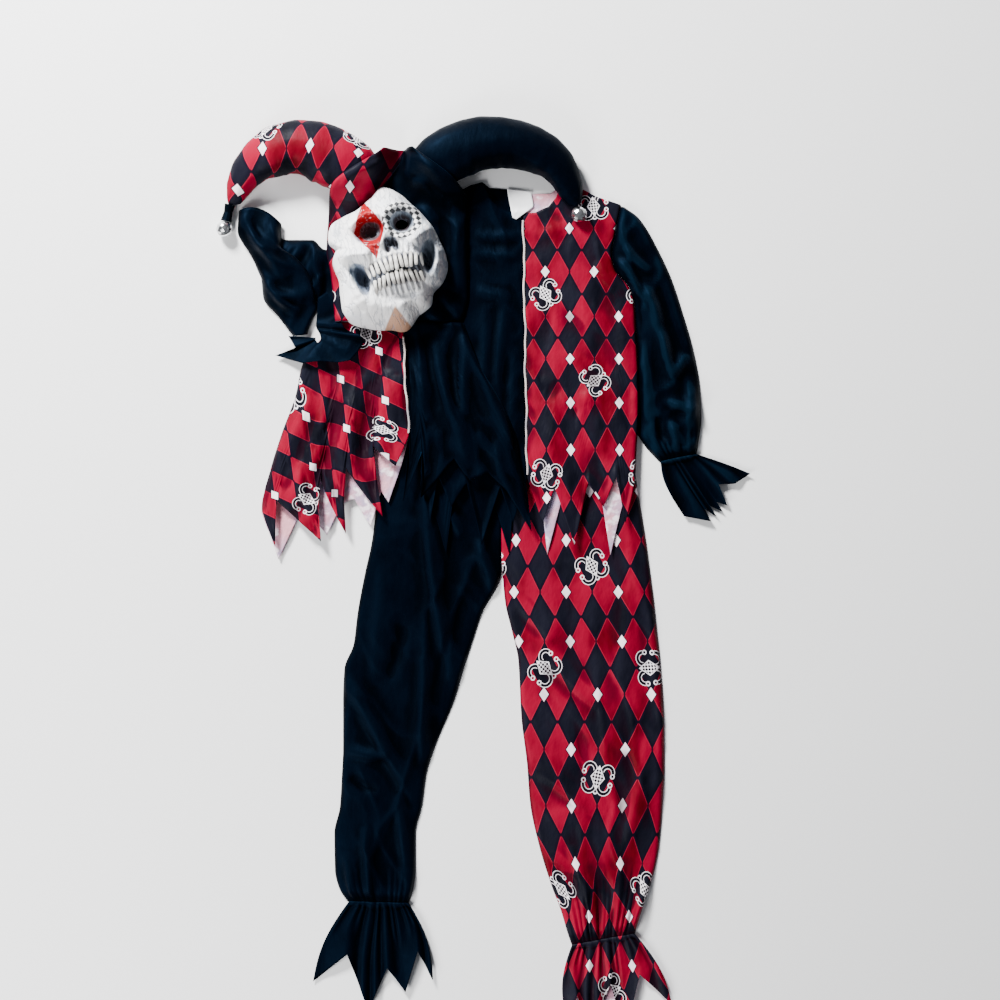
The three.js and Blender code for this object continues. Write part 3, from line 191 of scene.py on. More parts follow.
CAPE_BLACK_HEM = (  # at, y, lean
    (0, 104, 0), (0.05, -3, -22), (0.11, 76, 0), (0.18, 3, -18), (0.4, 66, 0), (0.5, 30, 4),
    (0.7, 44, 0), (0.82, 14, 0), (0.96, -50, 4), (1, 18, 0),
)
CAPE_BLACK_BACK_HEM = (  # at, y
    (0, 104), (0.1, 34), (0.22, 78), (0.34, 62), (0.46, 74), (0.64, 58), (0.78, 54), (0.9, -4), (1, 30),
)
HOOD_LEFT_EDGE = (  # y, x
    (560, -183), (554, -190), (491, -269), (460, -273), (397, -277), (366, -271), (284, -262),
)
HOOD_RIGHT_EDGE = (  # y, x
    (560, -140), (501, -66), (480, -52), (325, -50), (284, -59),
)
HOOD_SEAM = (  # y, x
    (560, -154), (545, -157), (520, -172), (499, -186), (470, -189), (400, -176), (284, -155),
)
HARLEQUIN_HORN = (  # x, y, width, height, lift
    (-206, 505, 56, 16, 8), (-214, 511, 80, 36, 8), (-230, 523, 97, 49, 8), (-252, 538, 98, 53, 8),
    (-272, 550, 95, 59, 1), (-296, 560, 90, 58, 0), (-326, 564, 86, 55, 0), (-357, 557, 82, 52, 0),
    (-386, 541, 72, 46, 0), (-406, 522, 60, 38, 0), (-421, 500, 46, 30, 0), (-429, 481, 30, 21, 1),
    (-431, 472, 20, 14, 3),
)
BLACK_HORN = (  # x, y, width, height, lift
    (-128, 508, 50, 16, 8), (-122, 516, 70, 34, 8), (-112, 528, 84, 44, 8), (-98, 540, 90, 50, 8),
    (-78, 551, 93, 59, 1), (-53, 561, 92, 59, 0), (-27, 567, 89, 57, 0), (2, 568, 86, 55, 0),
    (27, 565, 83, 53, 0), (52, 558, 80, 51, 0), (75, 547, 75, 46, 2), (93, 533, 68, 40, 4),
    (107, 515, 58, 34, 4), (117, 497, 46, 29, 4), (123, 479, 31, 21, 4), (125, 470, 21, 15, 5),
)
MASK_OUTLINE = (  # x, y
    (-188, 499), (-160, 488), (-139, 470), (-114, 445), (-96, 414), (-88, 397), (-83, 366), (-90, 347),
    (-105, 330), (-111, 307), (-126, 296), (-151, 268), (-175, 270), (-206, 272), (-237, 280),
    (-249, 293), (-255, 320), (-258, 350), (-267, 378), (-262, 397), (-272, 406), (-274, 421),
    (-270, 437), (-252, 450), (-230, 461), (-206, 482),
)
FACE_OPENING = (-179, 384, 66, 88)  # x, y, half width, half height

# The print: where its rows and columns lie
TUNIC_PRINT_ROWS = (  # y, row
    (433.6, 0), (364.8, 1), (292.8, 2), (225.6, 3), (155.2, 4), (80, 5), (3.2, 6), (-68, 7), (-139, 8),
)
LEG_PRINT = (  # y, row, x of a column, column spacing
    (95, 5, 118, 39), (14, 6, 123, 39.5), (-64, 7, 125.6, 40), (-147.2, 8, 126.4, 41.6),
    (-225.6, 9, 132.8, 41.2), (-310.4, 10, 134.4, 42.8), (-398.4, 11, 135.2, 43.2),
    (-488, 12, 134.4, 40.8), (-580.8, 13, 138.4, 35.5), (-664, 14, 158, 32), (-744, 15, 160, 34),
    (-824, 16, 164, 38), (-904, 17, 166, 40),
)
HORN_ARCH = (  # x, y of the print's middle row
    (-440, 552), (-397, 553), (-358, 554), (-318, 558), (-281, 559), (-241, 551), (-206, 541),
)
EVEN_ROWS = (1, 6, 10)  # rows whose small white lozenges are moved by one column
ORNAMENT_REPEAT = (4, 2)  # columns, rows
COLUMN_MM = 39
ROW_MM = 71

# The mask, in mm across it and up it from its centre
MASK_HOLLOWS_AND_BUMPS = (  # across, up, wide, tall, turn, height, sharpness
    (-14, 49, 23, 20, 10, -34, 2.6), (38, 50, 19, 18, -10, -30, 2.6),
    (7.6, 17, 6.5, 15, -16, -17, 2.0), (18.4, 17, 6.5, 15, 16, -16, 2.0),
    (13, 66, 10, 9, 0, 3, 1.2), (13, 4, 3, 6, 0, 4, 1.2),
    (-66, 64, 15, 22, 12, -8, 1.0), (78, 62, 11, 20, -12, -7, 1.0),
    (-47, -16, 14, 24, 14, -27, 2.2), (66, -10, 11, 24, -12, -24, 2.2),
    (10, -2, 36, 16, 0, 7, 1.4), (9, -26, 46, 27, 0, 10, 2.0),
    (-45, -26, 8, 19, 6, -18, 2.0), (61, -20, 7, 18, -6, -17, 2.0),
    (8, -90, 17, 11, 0, 7, 1.1), (8, -68, 13, 5, 0, -4, 1.1),
    (-22, 92, 24, 17, 0, 4, 1.0), (42, 92, 20, 15, 0, 4, 1.0),
    (-86, 6, 9, 26, 10, 5, 1.2), (-30, -92, 14, 10, 20, -4, 1.0),
)
MASK_RIDGES = (  # across1, up1, across2, up2, wide, height
    (-42, 64, -14, 77, 9, 12), (-14, 77, 6, 68, 8, 9), (20, 68, 38, 76, 8, 9), (38, 76, 62, 66, 9, 11),
    (13, 62, 13, 36, 6, 12), (-34, 26, -4, 22, 6, 6), (22, 24, 54, 29, 6, 6),
    (-30, 12, -60, 19, 12, 25), (-60, 19, -88, 34, 10, 16), (52, 16, 78, 30, 10, 21),
    (-54, -56, -22, -77, 12, 9), (-22, -77, 34, -77, 12, 7), (34, -77, 66, -52, 11, 9),
    (-78, 40, -70, 84, 6, 3), (-34, 84, -20, 106, 7, 3), (40, 84, 60, 96, 7, 3), (-60, -60, -52, -86, 6, 3),
    (-20, -84, -10, -104, 6, 3), (26, -84, 30, -104, 6, 3), (86, 20, 92, 50, 6, 3), (74, -28, 78, 0, 5, 4),
    (-64, -16, -56, -56, 9, 8), (82, -10, 68, -50, 8, 8), (-34, 4, -28, 20, 7, 5), (50, 6, 46, 22, 7, 5),
)
EYE_HOLES = ((-13, 47, 11, 9), (37, 47, 10, 8))  # across, up, half width, half height
TOOTH_ROOTS = ((5, 7, 44, 10), (-53, 8, 38, 9))  # up, half height, half width, teeth
TEETH_ROWS = (  # node, up, reach, tall, sag, teeth, root
    ("mask_teeth_upper", -12, 47, 25, 5, 12, 1),
    ("mask_teeth_lower", -36.5, 41, 22, 7, 11, -1),
)
MASK_SPOTS = (  # across, up, wide, tall, edge, wobble, share, colour
    # Painted shade in the hollows at the mouth corners and under the teeth
    (-45, -26, 11, 26, 0.1, 0.5, 0.85, (0.13, 0.16, 0.225)),
    (-40, -32, 5, 13, 0.1, 0.5, 0.95, (0.03, 0.035, 0.05)),
    (61, -20, 10, 22, 0.1, 0.5, 0.7, (0.13, 0.16, 0.225)),
    (58, -22, 6, 16, 0.1, 0.5, 0.97, (0.03, 0.035, 0.05)),
    (10, -68, 30, 5, 0.1, 0.5, 0.25, (0.13, 0.16, 0.225)),
    # Sockets and nose, painted dark
    (-14, 48.5, 17.5, 16, 0.22, 0.35, 1, (0.05, 0.035, 0.04)),
    (37.5, 48.5, 14.5, 14.5, 0.22, 0.35, 1, (0.05, 0.035, 0.04)),
    (7.4, 17, 5.2, 12.5, 0.22, 0.35, 1, (0.018, 0.016, 0.022)),
    (18.6, 17, 5.2, 12.5, 0.22, 0.35, 1, (0.018, 0.016, 0.022)),
    # Painted shade behind the teeth, showing between them
    (9.5, -24, 50, 24, 0.12, 0.2, 1, (0.02, 0.022, 0.03)),
)

# Folds that show: a soft ridge, or a trough where the height is negative, from one point to another.
# Columns: x1, y1, x2, y2, width, height
BLACK_LEG_FOLDS = (
    (-120, -48, -80, -290, 11, 4.5), (-125, -246, -124, -425, 9, 3.4), (-250, -280, -132, -486, 12, 5),
    (-248, -404, -176, -410, 10, 3.6), (-243, -445, -196, -468, 9, -3), (-36, -60, -12, -150, 8, 3.5),
    (-216, -520, -209, -645, 8, 4), (-91, -6, -60, -60, 8, 3.2), (-123, 30, -104, -170, 10, 3.6),
    (-190, -90, -200, -300, 16, 3), (-160, -470, -150, -620, 10, 3.4), (-250, -560, -232, -640, 8, 3),
    (-180, -300, -150, -200, 12, -2.6), (-60, -150, -110, -330, 10, -2.4),
)
HARLEQUIN_LEG_FOLDS = (
    (70, -245, 160, -335, 11, 3), (55, -430, 165, -505, 12, 3.4), (236, -370, 200, -570, 11, 3.4),
    (110, -550, 150, -670, 9, 3.4), (180, -590, 190, -690, 8, 3), (20, -150, 90, -230, 12, 2.6),
    (215, -120, 190, -300, 14, 2.6), (120, -340, 140, -460, 12, -2), (170, -430, 210, -520, 10, -2.2),
    (64, -560, 130, -600, 9, 2.4), (235, -600, 215, -690, 8, 2.6),
)
BLACK_TUNIC_FOLDS = (
    (-40, 421, 30, 418, 7, 2.6), (-45, 393, 32, 388, 7, 2.4), (-38, 334, 18, 320, 8, 3),
    (6, 330, -6, 165, 9, 3), (-20, 300, -36, 130, 10, 2.6), (22, 250, 16, 60, 8, 2),
)
HARLEQUIN_TUNIC_FOLDS = (
    (92, 338, 190, 246, 12, 2.4), (64, 148, 186, 172, 12, 2.2), (60, 420, 120, 440, 10, 1.8),
    (190, 330, 205, 180, 12, 2.2), (70, 60, 90, 160, 12, 1.8), (150, 380, 186, 330, 9, 2.2),
    (160, 60, 200, 20, 10, 2),
)
SLEEVE_FOLDS = (
    (187, 384, 226, 334, 6, 4.6), (195, 404, 240, 362, 7, 4), (200, 352, 234, 318, 6, 4),
    (230, 352, 256, 270, 8, 6), (254, 276, 275, 192, 8, 6), (276, 196, 300, 234, 7, 4.4),
    (248, 134, 262, 92, 8, -4), (262, 158, 312, 140, 8, 4), (224, 256, 236, 124, 10, 4),
    (216, 330, 216, 262, 7, -3.4), (300, 200, 308, 108, 8, 3.6), (270, 130, 286, 86, 8, 4),
)
UPPER_SLEEVE_FOLDS = (
    (-292, 404, -320, 330, 10, 4), (-330, 412, -362, 344, 9, 4), (-276, 392, -284, 300, 8, -3),
    (-350, 420, -395, 380, 9, 4), (-310, 350, -350, 322, 8, 3), (-300, 412, -286, 330, 6, 3),
    (-318, 410, -334, 372, 6, 2.6), (-284, 360, -308, 322, 6, 2.4),
)
FOREARM_FOLDS = (
    (-414, 456, -340, 350, 10, 5), (-376, 345, -326, 292, 7, 4), (-398, 400, -352, 402, 6, 2.6),
    (-360, 330, -312, 318, 6, 3), (-396, 452, -376, 400, 7, -3), (-404, 430, -352, 356, 6, 2.6),
    (-388, 372, -344, 300, 6, 2.6), (-372, 326, -318, 300, 5, 2.4), (-366, 440, -352, 410, 6, 2.4),
    (-372, 384, -330, 372, 5, 2), (-384, 352, -360, 300, 5, 2.4),
)
CAPE_HARLEQUIN_FOLDS = (
    (-268, 160, -338, -20, 13, 5), (-225, 200, -262, 10, 12, 5), (-180, 210, -196, 10, 11, 4.6),
    (-300, 170, -356, 30, 12, 3.6), (-246, 176, -300, 0, 10, -3.4), (-204, 190, -226, 30, 9, -3.4),
    (-166, 200, -170, 90, 9, 3), (-330, 60, -300, -40, 10, 3),
)
CAPE_BLACK_FOLDS = (
    (-131, 256, -121, 120, 10, 5.4), (-108, 254, -50, 46, 12, 6), (-59, 268, -58, 130, 9, 4.6),
    (-50, 250, 24, 80, 12, 5), (-84, 240, -70, 110, 9, -3.6), (-120, 120, -128, 20, 9, 4),
    (-40, 110, 20, 40, 10, 3.4), (-136, 60, -110, 40, 8, 2.6),
)
HOOD_HARLEQUIN_FOLDS = (
    (-262, 470, -236, 392, 9, 4), (-250, 500, -190, 536, 9, 4), (-270, 380, -252, 300, 8, 3.6),
    (-228, 296, -200, 288, 7, 3), (-212, 500, -176, 552, 8, 3.4),
)
HOOD_BLACK_FOLDS = (
    (-146, 552, -86, 498, 10, 5), (-148, 524, -92, 486, 9, -3.4), (-140, 506, -110, 500, 8, 4),
    (-74, 480, -64, 330, 11, 4.6), (-92, 330, -62, 290, 9, 4), (-120, 300, -90, 288, 8, 3.4),
    (-132, 470, -100, 440, 9, 3.6),
)


def between(rows, place, column=1, smooth=False):
    """Reads a table's column at place: straight between its rows, or eased through them."""
    order = sorted(rows, key=lambda row: row[0])
    keys = np.array([row[0] for row in order], float)
    values = np.array([row[column] for row in order], float)
    place = np.clip(place, keys[0], keys[-1])
    if not smooth:
        return np.interp(place, keys, values)
    rates = np.diff(values) / np.diff(keys)
    product = rates[:-1] * rates[1:]
    total = np.where(product > 0, rates[:-1] + rates[1:], 1)
    slopes = np.concatenate([rates[:1], np.where(product > 0, 2 * product / total, 0), rates[-1:]])
    i = np.clip(np.searchsorted(keys, place) - 1, 0, len(keys) - 2)
    span = keys[i + 1] - keys[i]
    t = (place - keys[i]) / span
    return (
        values[i] * (2 * t**3 - 3 * t**2 + 1)
        + slopes[i] * span * (t**3 - 2 * t**2 + t)
        + values[i + 1] * (3 * t**2 - 2 * t**3)
        + slopes[i + 1] * span * (t**3 - t**2)
    )


def edge_of(rows, column=1):
    return lambda y: between(rows, y, column, smooth=True)


def level(y):
    return ((0, y), (1, y))


def ramp(place, start, end):
    """Rises from 0 at start to 1 at end, level at both."""
    t = np.clip((place - start) / (end - start), 0, 1)
    return t * t * (3 - 2 * t)


def fold_height(folds, x, y):
    """Height of the folds at each point: full along each one, fading to its ends and sides."""
    height = np.zeros_like(x)
    for x1, y1, x2, y2, wide, tall in folds:
        dx, dy = x2 - x1, y2 - y1
        long = math.hypot(dx, dy)
        along = ((x - x1) * dx + (y - y1) * dy) / long**2
        aside = ((x - x1) * dy - (y - y1) * dx) / long
        aside = aside + 0.12 * wide * np.sin(along * 7 + x1 * 0.1)
        steep = np.where(aside > 0, wide * 0.75, wide * 1.25)
        inside = (along > 0) & (along < 1)
        profile = np.sin(np.pi * np.clip(along, 0, 1)) ** 0.8
        height += np.where(inside, FOLD_RISE * tall * profile * np.exp(-((aside / steep) ** 2)), 0)
    return height


def soft_noise(x, y, size, seed):
    """Smooth uneven heights from -1 to 1, with hills about size across, the same each time."""
    numbers = np.random.default_rng(seed).uniform(-1, 1, (64, 64))
    u, v = x / size, y / size
    i, j = np.floor(u).astype(int), np.floor(v).astype(int)
    s, t = u - i, v - j
    s, t = s * s * (3 - 2 * s), t * t * (3 - 2 * t)
    at = lambda a, b: numbers[a % 64, b % 64]
    low = at(i, j) * (1 - s) + at(i + 1, j) * s
    high = at(i, j + 1) * (1 - s) + at(i + 1, j + 1) * s
    return low * (1 - t) + high * t


def creases(x, y, turn, apart, long, seed):
    """Thin uneven ridges from 0 to 1, some way apart, running at turn degrees from the y axis."""
    cos, sin = math.cos(math.radians(turn)), math.sin(math.radians(turn))
    across, down = x * cos + y * sin, y * cos - x * sin
    wave = soft_noise(across / apart + 0.35 * soft_noise(x, y, 60, seed + 1), down / long, 1, seed)
    return (1 - np.abs(wave)) ** 3


# What each garment lies on, as in the part: the top of the cloth under it, with a gap.
def on_nothing(x, y):
    return 0 * x


def on_ply(x, y, plies=1):
    return plies * PLY + 0 * x


def climb(y):
    return ramp(y, 238, 132)


def loose(y):
    return SLACK * ramp(y, 268, 236)


def tunic_base(x, y):
    return TWO_PLIES * climb(y)


def tunic_front_base(x, y):
    return tunic_base(x, y) + PLY + loose(y)


def hood_base(x, y):
    return TWO_PLIES * ramp(y, 566, 506)


def cape_base(x, y):
    off_tunic = 1 - ramp(x, -250, -145)
    off_neck = 1 - ramp(y, 180, NECK_SEAM_Y - 6)
    over_trousers = climb(y) * ramp(x, -300, -200)
    return TWO_PLIES * (1 - off_tunic * off_neck) + TWO_PLIES * over_trousers + 2 * loose(y)


def cape_front_base(x, y):
    return cape_base(x, y) + PLY + SLACK


def left_ruffle_base(x, y):
    on_cape = ramp(x, -356, -312)
    return (cape_front_base(x, y) + PLY) * on_cape + (PLY - CLOTH) * (1 - on_cape)


# Plans
class Grid:
    """Plan of a piece of cloth: x and y at each grid point, and its place across and along."""

    def __init__(self, x, y, at, along):
        self.x, self.y, self.at, self.along = x, y, at + 0 * y, along + 0 * y
        self.z = np.zeros_like(x)


def steps_between(knots, width, step):
    places = []
    for a, b in zip(knots, knots[1:]):
        count = max(1, round((b - a) * width / step))
        places += list(np.linspace(a, b, count, endpoint=False))
    return np.array(places + [knots[-1]])


def panel_plan(left, right, top, hem, step=GRID_STEP):
    """A panel between two side curves of y, a top line and a hem whose points may lean."""
    knots = sorted({float(row[0]) for row in (*top, *hem)})
    middle = np.array((top[0][1] + hem[0][1]) / 2)
    at = steps_between(knots, abs(float(right(middle)) - float(left(middle))), step)[:, None]
    tall = abs(top[0][1] - hem[0][1])
    along = np.linspace(0, 1, max(4, round(tall / step)) + 1)[None, :]
    y = between(top, at) * (1 - along) + between(hem, at) * along
    lean = between(hem, at, 2) if len(hem[0]) > 2 else 0
    return Grid(left(y) * (1 - at) + right(y) * at + lean * along**4, y, at, along)


def half_plan(shade, left, seam, right, top, hem, aside=0.0):
    """The black panel to the right of a leaning seam, or the harlequin one to its left."""
    if shade == "black":
        return panel_plan(lambda y: seam(y) + aside + SEAM / 2, edge_of(right), top, hem)
    return panel_plan(edge_of(left), lambda y: seam(y) + aside - SEAM / 2, top, hem)


def ruffle_plan(rays, bulge, across):
    """A ruffle: rays from the gathered root out to each point and notch of the rim."""
    rows = np.array(rays, float)
    place = np.linspace(0, len(rows) - 1, (len(rows) - 1) * across + 1)
    root_x, root_y, tip_x, tip_y = (
        np.interp(place, np.arange(len(rows)), column)[:, None] for column in rows.T
    )
    along = np.linspace(0, 1, RUFFLE_STEPS + 1)[None, :]
    at = (place / (len(rows) - 1))[:, None]
    x = root_x * (1 - along) + tip_x * along + bulge * np.sin(np.pi * along) * (2 * at - 1)
    return Grid(x, root_y * (1 - along) + tip_y * along, at, along)


def sleeve_plan(rows, width, long, step=GRID_STEP, crest=0, smooth=True):
    """A sleeve from rows that run across it, eased along its length; crest arches its first row."""
    stations = [(i / (len(rows) - 1), *row) for i, row in enumerate(rows)]
    along = np.linspace(0, 1, round(long / step) + 1)[None, :]
    at = np.linspace(0, 1, round(width / step) + 1)[:, None]
    ax, ay, bx, by, bow = (between(stations, along, column, smooth) for column in range(1, 6))
    x = ax * (1 - at) + bx * at + bow * 4 * at * (1 - at)
    return Grid(x, ay * (1 - at) + by * at + crest * 4 * at * (1 - at) * (1 - along) ** 5, at, along)


def rooted_below(plan, rays, overlap=-SEAM):
    """Adds each ray's rootY beside the hem of the panel it is sewn to, under it by the overlap."""
    hem_x, hem_y = plan.x[:, -1], plan.y[:, -1]
    order = np.argsort(hem_x)
    root_y = lambda root_x: float(np.interp(root_x, hem_x[order], hem_y[order])) + overlap
    return [(root_x, root_y(root_x), tip_x, tip_y) for root_x, tip_x, tip_y in rays]


def shorter(rays, share):
    return [(rx, ry, rx + (tx - rx) * share, ry + (ty - ry) * share) for rx, ry, tx, ty in rays]


# Heights. LOWER holds everything that later layers can lie on.
LOWER = []


def lie_under(piece):
    """Lets later layers lie on this piece."""
    points = vertices_of(piece)
    tree = BVHTree.FromPolygons([Vector(p) for p in points], [tuple(p.vertices) for p in piece.data.polygons])
    LOWER.append((tree, points.min(0), points.max(0)))


def tops_under(x, y):
    """Height in mm of what already lies at each point, or 0 for the floor."""
    found = np.zeros(x.size)
    px, py = x.ravel() * MM, y.ravel() * MM
    for tree, low, high in LOWER:
        for k in np.nonzero((px > low[0]) & (px < high[0]) & (py > low[1]) & (py < high[1]))[0]:
            hit = tree.ray_cast(Vector((px[k], py[k], RAY_START)), Vector((0, 0, -1)))[0]
            if hit is not None:
                found[k] = max(found[k], hit.z / MM)
    return found.reshape(x.shape)


def widened(floor):
    """Each height raised to the highest of its neighbours, so that nothing pokes through between points."""
    padded = np.pad(floor, 1, mode="edge")
    columns, rows = floor.shape
    return np.max([padded[i:i + columns, j:j + rows] for i in range(3) for j in range(3)], axis=0)


def beside(z):
    """Sum of each point's four neighbours."""
    padded = np.pad(z, 1, mode="edge")
    return padded[:-2, 1:-1] + padded[2:, 1:-1] + padded[1:-1, :-2] + padded[1:-1, 2:]


def relaxed(floor, rounds):
    """Cloth over a floor: it spans hollows softly and never goes under the floor."""
    z = floor
    for _ in range(rounds):
        z = np.maximum(floor, 0.35 * z + 0.65 * (beside(z) / 4))
    return z


def ridges_of(z):
    """1 on the ridges of the folds, 0 in their hollows and 0.5 on even cloth."""
    smooth = z
    for _ in range(30):
        smooth = (beside(smooth) + 2 * smooth) / 6
    return np.clip(0.5 + (z - smooth) / 4, 0, 1)


def side_roll(grid, reach, left=True, right=True):
    """0 at a side edge that is folded or sewn to the ply below, 1 beyond its reach."""
    width = np.hypot(grid.x[-1] - grid.x[0], grid.y[-1] - grid.y[0])[None, :]
    off_left = grid.at * width if left else np.full_like(grid.x, 1e3)
    off_right = (1 - grid.at) * width if right else np.full_like(grid.x, 1e3)
    near = np.clip(np.minimum(off_left, off_right) / reach, 0, 1)
    return np.sqrt(np.clip(1 - (1 - near) ** 2, 0, 1))


def lay(
    grid, base, gap=0.35, rounds=0, folds=(), crown=0.0, roll=None, ripple=(), creased=(), lift=0, press=1
):
    """Settles a piece on what is under it, then adds its folds and unevenness.

    A ripple's columns are height, size and seed, and a crease's height, turn, spacing, length and seed.
    """
    x, y = grid.x, grid.y
    floor = np.maximum(base(x, y), widened(tops_under(x, y)) + gap)
    z = relaxed(floor, rounds)
    shape = crown * (1 - (2 * grid.at - 1) ** 4) + fold_height(folds, x, y)
    for tall, size, seed in ripple:
        shape = shape + tall * (1 + soft_noise(x, y, size, seed)) * 0.5
    for tall, turn, apart, long, seed in creased:
        shape = shape + tall * creases(x, y, turn, apart, long, seed) - min(tall, 0)
    shape = (shape + lift) * press
    least = floor
    if roll is not None:
        shape = shape * roll
        z = z - (1 - roll) * np.minimum(ROLL_DROP, z - floor + ROLL_DROP)
        least = floor - ROLL_DROP
    grid.z = np.maximum(np.maximum(z + shape, least), 0.02)
    return grid


def on_floor(grid):
    return lay(grid, on_nothing, gap=0)


def gathers(grid, count, from_end, reach, tall):
    """Waves of cloth drawn in by elastic, fading with distance from it."""
    near = np.clip(1 - from_end / reach, 0, 1)
    wobble = 0.35 * np.sin(grid.at * 23) + 0.2 * np.sin(grid.at * 57)
    return tall * np.abs(np.sin(np.pi * (count * grid.at + wobble))) * near**0.9


def ruffle_lift(grid, waves, tall, seed):
    """Waves that fan out from the root, and points that curl up a little."""
    phase = 0.5 * np.sin(grid.at * 9 + seed)
    fan = 0.5 * tall * (1 - np.cos(2 * np.pi * (waves * grid.at + phase))) * np.sqrt(grid.along)
    curl = 2.4 * (1 + soft_noise(grid.x, grid.y, 24, seed)) * grid.along**2
    return fan * 0.8 + curl


# Meshes
def vertices_of(piece):
    points = np.zeros(len(piece.data.vertices) * 3)
    piece.data.vertices.foreach_get("co", points)
    return points.reshape(-1, 3)


def shade_smooth(mesh):
    mesh.polygons.foreach_set("use_smooth", np.ones(len(mesh.polygons), bool))


def write_layers(mesh, layers):
    """Writes UV layers, each from a pair for every point."""
    loops = np.zeros(len(mesh.loops), np.int32)
    mesh.loops.foreach_get("vertex_index", loops)
    for name, pairs in layers.items():
        layer = mesh.uv_layers.new(name=name)
        layer.data.foreach_set("uv", np.asarray(pairs, np.float32)[loops].ravel())


def mesh_object(name, points, faces, materials, layers, face_materials=None):
    """A smooth-shaded mesh from points in mm, with its UV layers."""
    mesh = bpy.data.meshes.new(name)
    mesh.from_pydata((np.asarray(points, float) * MM).tolist(), [], faces)
    for material in materials:
        mesh.materials.append(material)
    if face_materials is not None:
        mesh.polygons.foreach_set("material_index", np.asarray(face_materials, np.int32))
    shade_smooth(mesh)
    write_layers(mesh, layers)
    mesh.update()
    piece = bpy.data.objects.new(name, mesh)
    bpy.context.scene.collection.objects.link(piece)
    return piece


def stand_in(piece, node):
    """Puts a shaped piece in the place of its CAD node."""
    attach(piece, "root")
    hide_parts(node)


def triangles(quads):
    """Each four-cornered face as two triangles, so that both faces of a cloth bend along the same lines."""
    return np.concatenate([quads[:, [0, 1, 2]], quads[:, [0, 2, 3]]])


def cloth(name, grid, materials, pattern, drop=None):
    """A thin cloth over a grid: its upper face, the face under it and the rim between them."""
    lower = np.stack([grid.x, grid.y, grid.z], -1).reshape(-1, 3)
    upper = lower + [0, 0, SHEET]
    count = len(lower)
    number = np.arange(count).reshape(grid.x.shape)
    corners = number[:-1, :-1], number[:-1, 1:], number[1:, 1:], number[1:, :-1]
    quads = np.stack(corners, -1).reshape(-1, 4)
    if drop is not None:
        quads = quads[~drop(grid).ravel()[quads].any(axis=1)]
    p, q, r = (upper[quads[:, k]] for k in range(3))
    if np.sum((q - p)[:, 0] * (r - p)[:, 1] - (q - p)[:, 1] * (r - p)[:, 0]) < 0:
        quads = quads[:, ::-1]
    over = triangles(quads)
    edges = np.concatenate([quads[:, [k, (k + 1) % 4]] for k in range(4)])
    rim = edges[~np.isin(edges @ [count, 1], edges @ [1, count])]
    sides = triangles(np.stack([rim[:, 1], rim[:, 0], rim[:, 0] + count, rim[:, 1] + count], -1))
    faces = np.concatenate([over, over[:, ::-1] + count, sides])
    which = np.repeat([0, 1, 0], [len(over), len(over), len(sides)])
    used, fresh = np.unique(faces, return_inverse=True)
    # The fold layer tells the materials where to paint highlights on the ridges and shade in the hollows.
    ridge = ridges_of(grid.z)
    pairs = {"print": pattern(grid.x, grid.y), "fold": (ridge, ridge)}
    layers = {key: np.tile(np.stack(pair, -1).reshape(-1, 2), (2, 1))[used] for key, pair in pairs.items()}
    points = np.concatenate([upper, lower])[used]
    return mesh_object(name, points, fresh.reshape(-1, 3).tolist(), materials, layers, which)


def flat_size(grid):
    """Width, length and area of the flat cut, in metres, from its plan."""
    x, y = grid.x * MM, grid.y * MM
    ux, uy = x[1:, 1:] - x[:-1, :-1], y[1:, 1:] - y[:-1, :-1]
    vx, vy = x[1:, :-1] - x[:-1, 1:], y[1:, :-1] - y[:-1, 1:]
    area = float(np.abs(ux * vy - uy * vx).sum() / 2)
    return float(np.ptp(x)), float(np.ptp(y)), area


# Materials
class Value:
    """A number over a surface: a shader socket that takes part in plain sums."""

    def __init__(self, paint, socket):
        self.paint, self.socket = paint, socket

    def then(self, operation, *others):
        return self.paint.read("ShaderNodeMath", dict(enumerate((self, *others))), operation=operation)

    def __add__(self, other):
        return self.then("ADD", other)

    def __sub__(self, other):
        return self.then("SUBTRACT", other)

    def __rsub__(self, other):
        return (self - other) * -1

    def __mul__(self, other):
        return self.then("MULTIPLY", other)

    def __lt__(self, other):
        return self.then("LESS_THAN", other)

    def __gt__(self, other):
        return self.then("GREATER_THAN", other)

    def __abs__(self):
        return self.then("ABSOLUTE")

    def step(self, low, high, start=0.0, end=1.0):
        """start at low, end at high and eased between them."""
        inputs = {0: self, 1: low, 2: high, 3: start, 4: end}
        return self.paint.read("ShaderNodeMapRange", inputs, interpolation_type="SMOOTHSTEP")


def far(a, b):
    return (a * a + b * b).then("SQRT")


